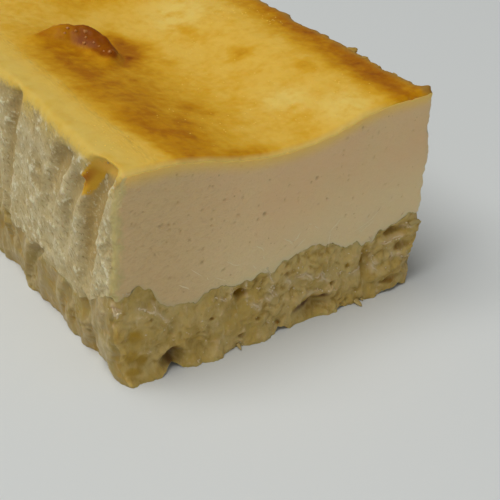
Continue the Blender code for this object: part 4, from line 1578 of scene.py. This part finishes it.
class CHEESECAKE_OT_stage(bpy.types.Operator):
    """Adds the table top, the soft daylight and the camera"""

    bl_idname = "cheesecake.stage"
    bl_label = "Stage"

    def execute(self, context):
        scene = context.scene
        colours = colour_table(scene)
        mesh = bpy.data.meshes.new("table_top")
        corners = ((-1, -1), (1, -1), (1, 1), (-1, 1))
        mesh.from_pydata([(TABLE_HALF * x, TABLE_HALF * y, 0) for x, y in corners], [], [range(4)])
        mesh.materials.append(plain_material("table_top_matt_laminate", colours["floor"], 0.5))
        floor = bpy.data.objects.new("table_top", mesh)
        scene.collection.objects.link(floor)

        add_daylight(scene)
        add_light("ceiling_light", LIGHT_PLACE, LIGHT_SIZE, LIGHT_POWER)
        scene.view_settings.view_transform = "Standard"
        add_camera(scene)
        return {"FINISHED"}


def add_daylight(scene):
    """A room that is brightest on the camera's side and dimmest behind the cake."""
    world = bpy.data.worlds.new("daylight")
    world.use_nodes = True
    tree = world.node_tree
    direction = add_node(tree, "TexCoord").outputs["Generated"]
    towards = {0: direction, 1: (-0.6, -0.8, 0)}
    facing = add_node(tree, "VectorMath", towards, operation="DOT_PRODUCT").outputs["Value"]
    limits = {"Value": facing, "From Min": -1, "From Max": 1, "To Min": 0.14, "To Max": 0.36}
    background = tree.nodes["Background"]
    background.inputs["Color"].default_value = linear("f4f5f6")
    feed(tree, background.inputs["Strength"], add_node(tree, "MapRange", limits))
    scene.world = world


def add_light(name, place, size, power):
    """A square area light at this place, facing the middle of the cake."""
    light = bpy.data.lights.new(name, "AREA")
    light.shape = "SQUARE"
    light.size = size
    light.energy = power
    lamp = bpy.data.objects.new(name, light)
    lamp.location = place
    lamp.rotation_euler = (Vector((0, 0, 0.03)) - Vector(place)).to_track_quat("-Z", "Y").to_euler()
    bpy.context.scene.collection.objects.link(lamp)


TABLE_HALF = 3.0  # metres, as all of the stage's lengths
LIGHT_PLACE = (-1.45, 0.35, 3.2)
LIGHT_SIZE = 2.5
LIGHT_POWER = 86
CAMERA_PLACE = (-0.125045, -0.205358, 0.149258)
CAMERA_AZIMUTH = math.radians(-37.019)  # from straight in front, to the left
CAMERA_ELEVATION = math.radians(32.767)
CAMERA_ROLL = math.radians(3.979)
FOCAL_PIXELS = 1072.68  # focal length in pixels of the 500 pixel wide picture
PICTURE_PIXELS = 500
SENSOR = 36  # millimetres


def add_camera(scene):
    """The camera at the photograph's angle."""
    azimuth, elevation, roll = CAMERA_AZIMUTH, CAMERA_ELEVATION, CAMERA_ROLL
    back = Vector(
        (
            math.sin(azimuth) * math.cos(elevation),
            -math.cos(azimuth) * math.cos(elevation),
            math.sin(elevation),
        )
    )
    right = (-back).cross(Vector((0, 0, 1))).normalized()
    up = right.cross(-back)
    rolled_right = math.cos(roll) * right + math.sin(roll) * up
    rolled_up = math.cos(roll) * up - math.sin(roll) * right
    data = bpy.data.cameras.new("camera")
    data.sensor_width = SENSOR
    data.lens = SENSOR * FOCAL_PIXELS / PICTURE_PIXELS
    data.clip_start = 0.01
    camera = bpy.data.objects.new("camera", data)
    turn = Matrix((rolled_right, rolled_up, back)).transposed().to_4x4()
    camera.matrix_world = Matrix.Translation(CAMERA_PLACE) @ turn
    scene.collection.objects.link(camera)
    scene.camera = camera


class CHEESECAKE_PT_panel(bpy.types.Panel):
    """The cheesecake's pieces, sizes and colours"""

    bl_idname = "CHEESECAKE_PT_panel"
    bl_label = "Sweet potato cheesecake"
    bl_space_type = "VIEW_3D"
    bl_region_type = "UI"
    bl_category = "Cheesecake"

    def draw(self, context):
        for operator in OPERATORS:
            self.layout.operator(operator.bl_idname)
        for kind, group in (
            (CheesecakeSizes, context.scene.cheesecake_sizes),
            (CheesecakeColours, context.scene.cheesecake_colours),
        ):
            for name in kind.__annotations__:
                self.layout.prop(group, name)


OPERATORS = (
    CHEESECAKE_OT_stage,
    CHEESECAKE_OT_mash,
    CHEESECAKE_OT_custard,
    CHEESECAKE_OT_shreds,
    CHEESECAKE_OT_crumbs,
)
CLASSES = (CheesecakeColours, CheesecakeSizes, *OPERATORS, CHEESECAKE_PT_panel)


def register():
    for kind in CLASSES:
        bpy.utils.register_class(kind)
    bpy.types.Scene.cheesecake_colours = PointerProperty(type=CheesecakeColours)
    bpy.types.Scene.cheesecake_sizes = PointerProperty(type=CheesecakeSizes)


def unregister():
    del bpy.types.Scene.cheesecake_sizes
    del bpy.types.Scene.cheesecake_colours
    for kind in reversed(CLASSES):
        bpy.utils.unregister_class(kind)


def main():
    register()
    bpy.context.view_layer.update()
    bpy.ops.cheesecake.stage()
    bpy.ops.cheesecake.mash()
    bpy.ops.cheesecake.custard()
    bpy.ops.cheesecake.shreds()
    bpy.ops.cheesecake.crumbs()
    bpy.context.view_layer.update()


if __name__ == "__main__":
    main()
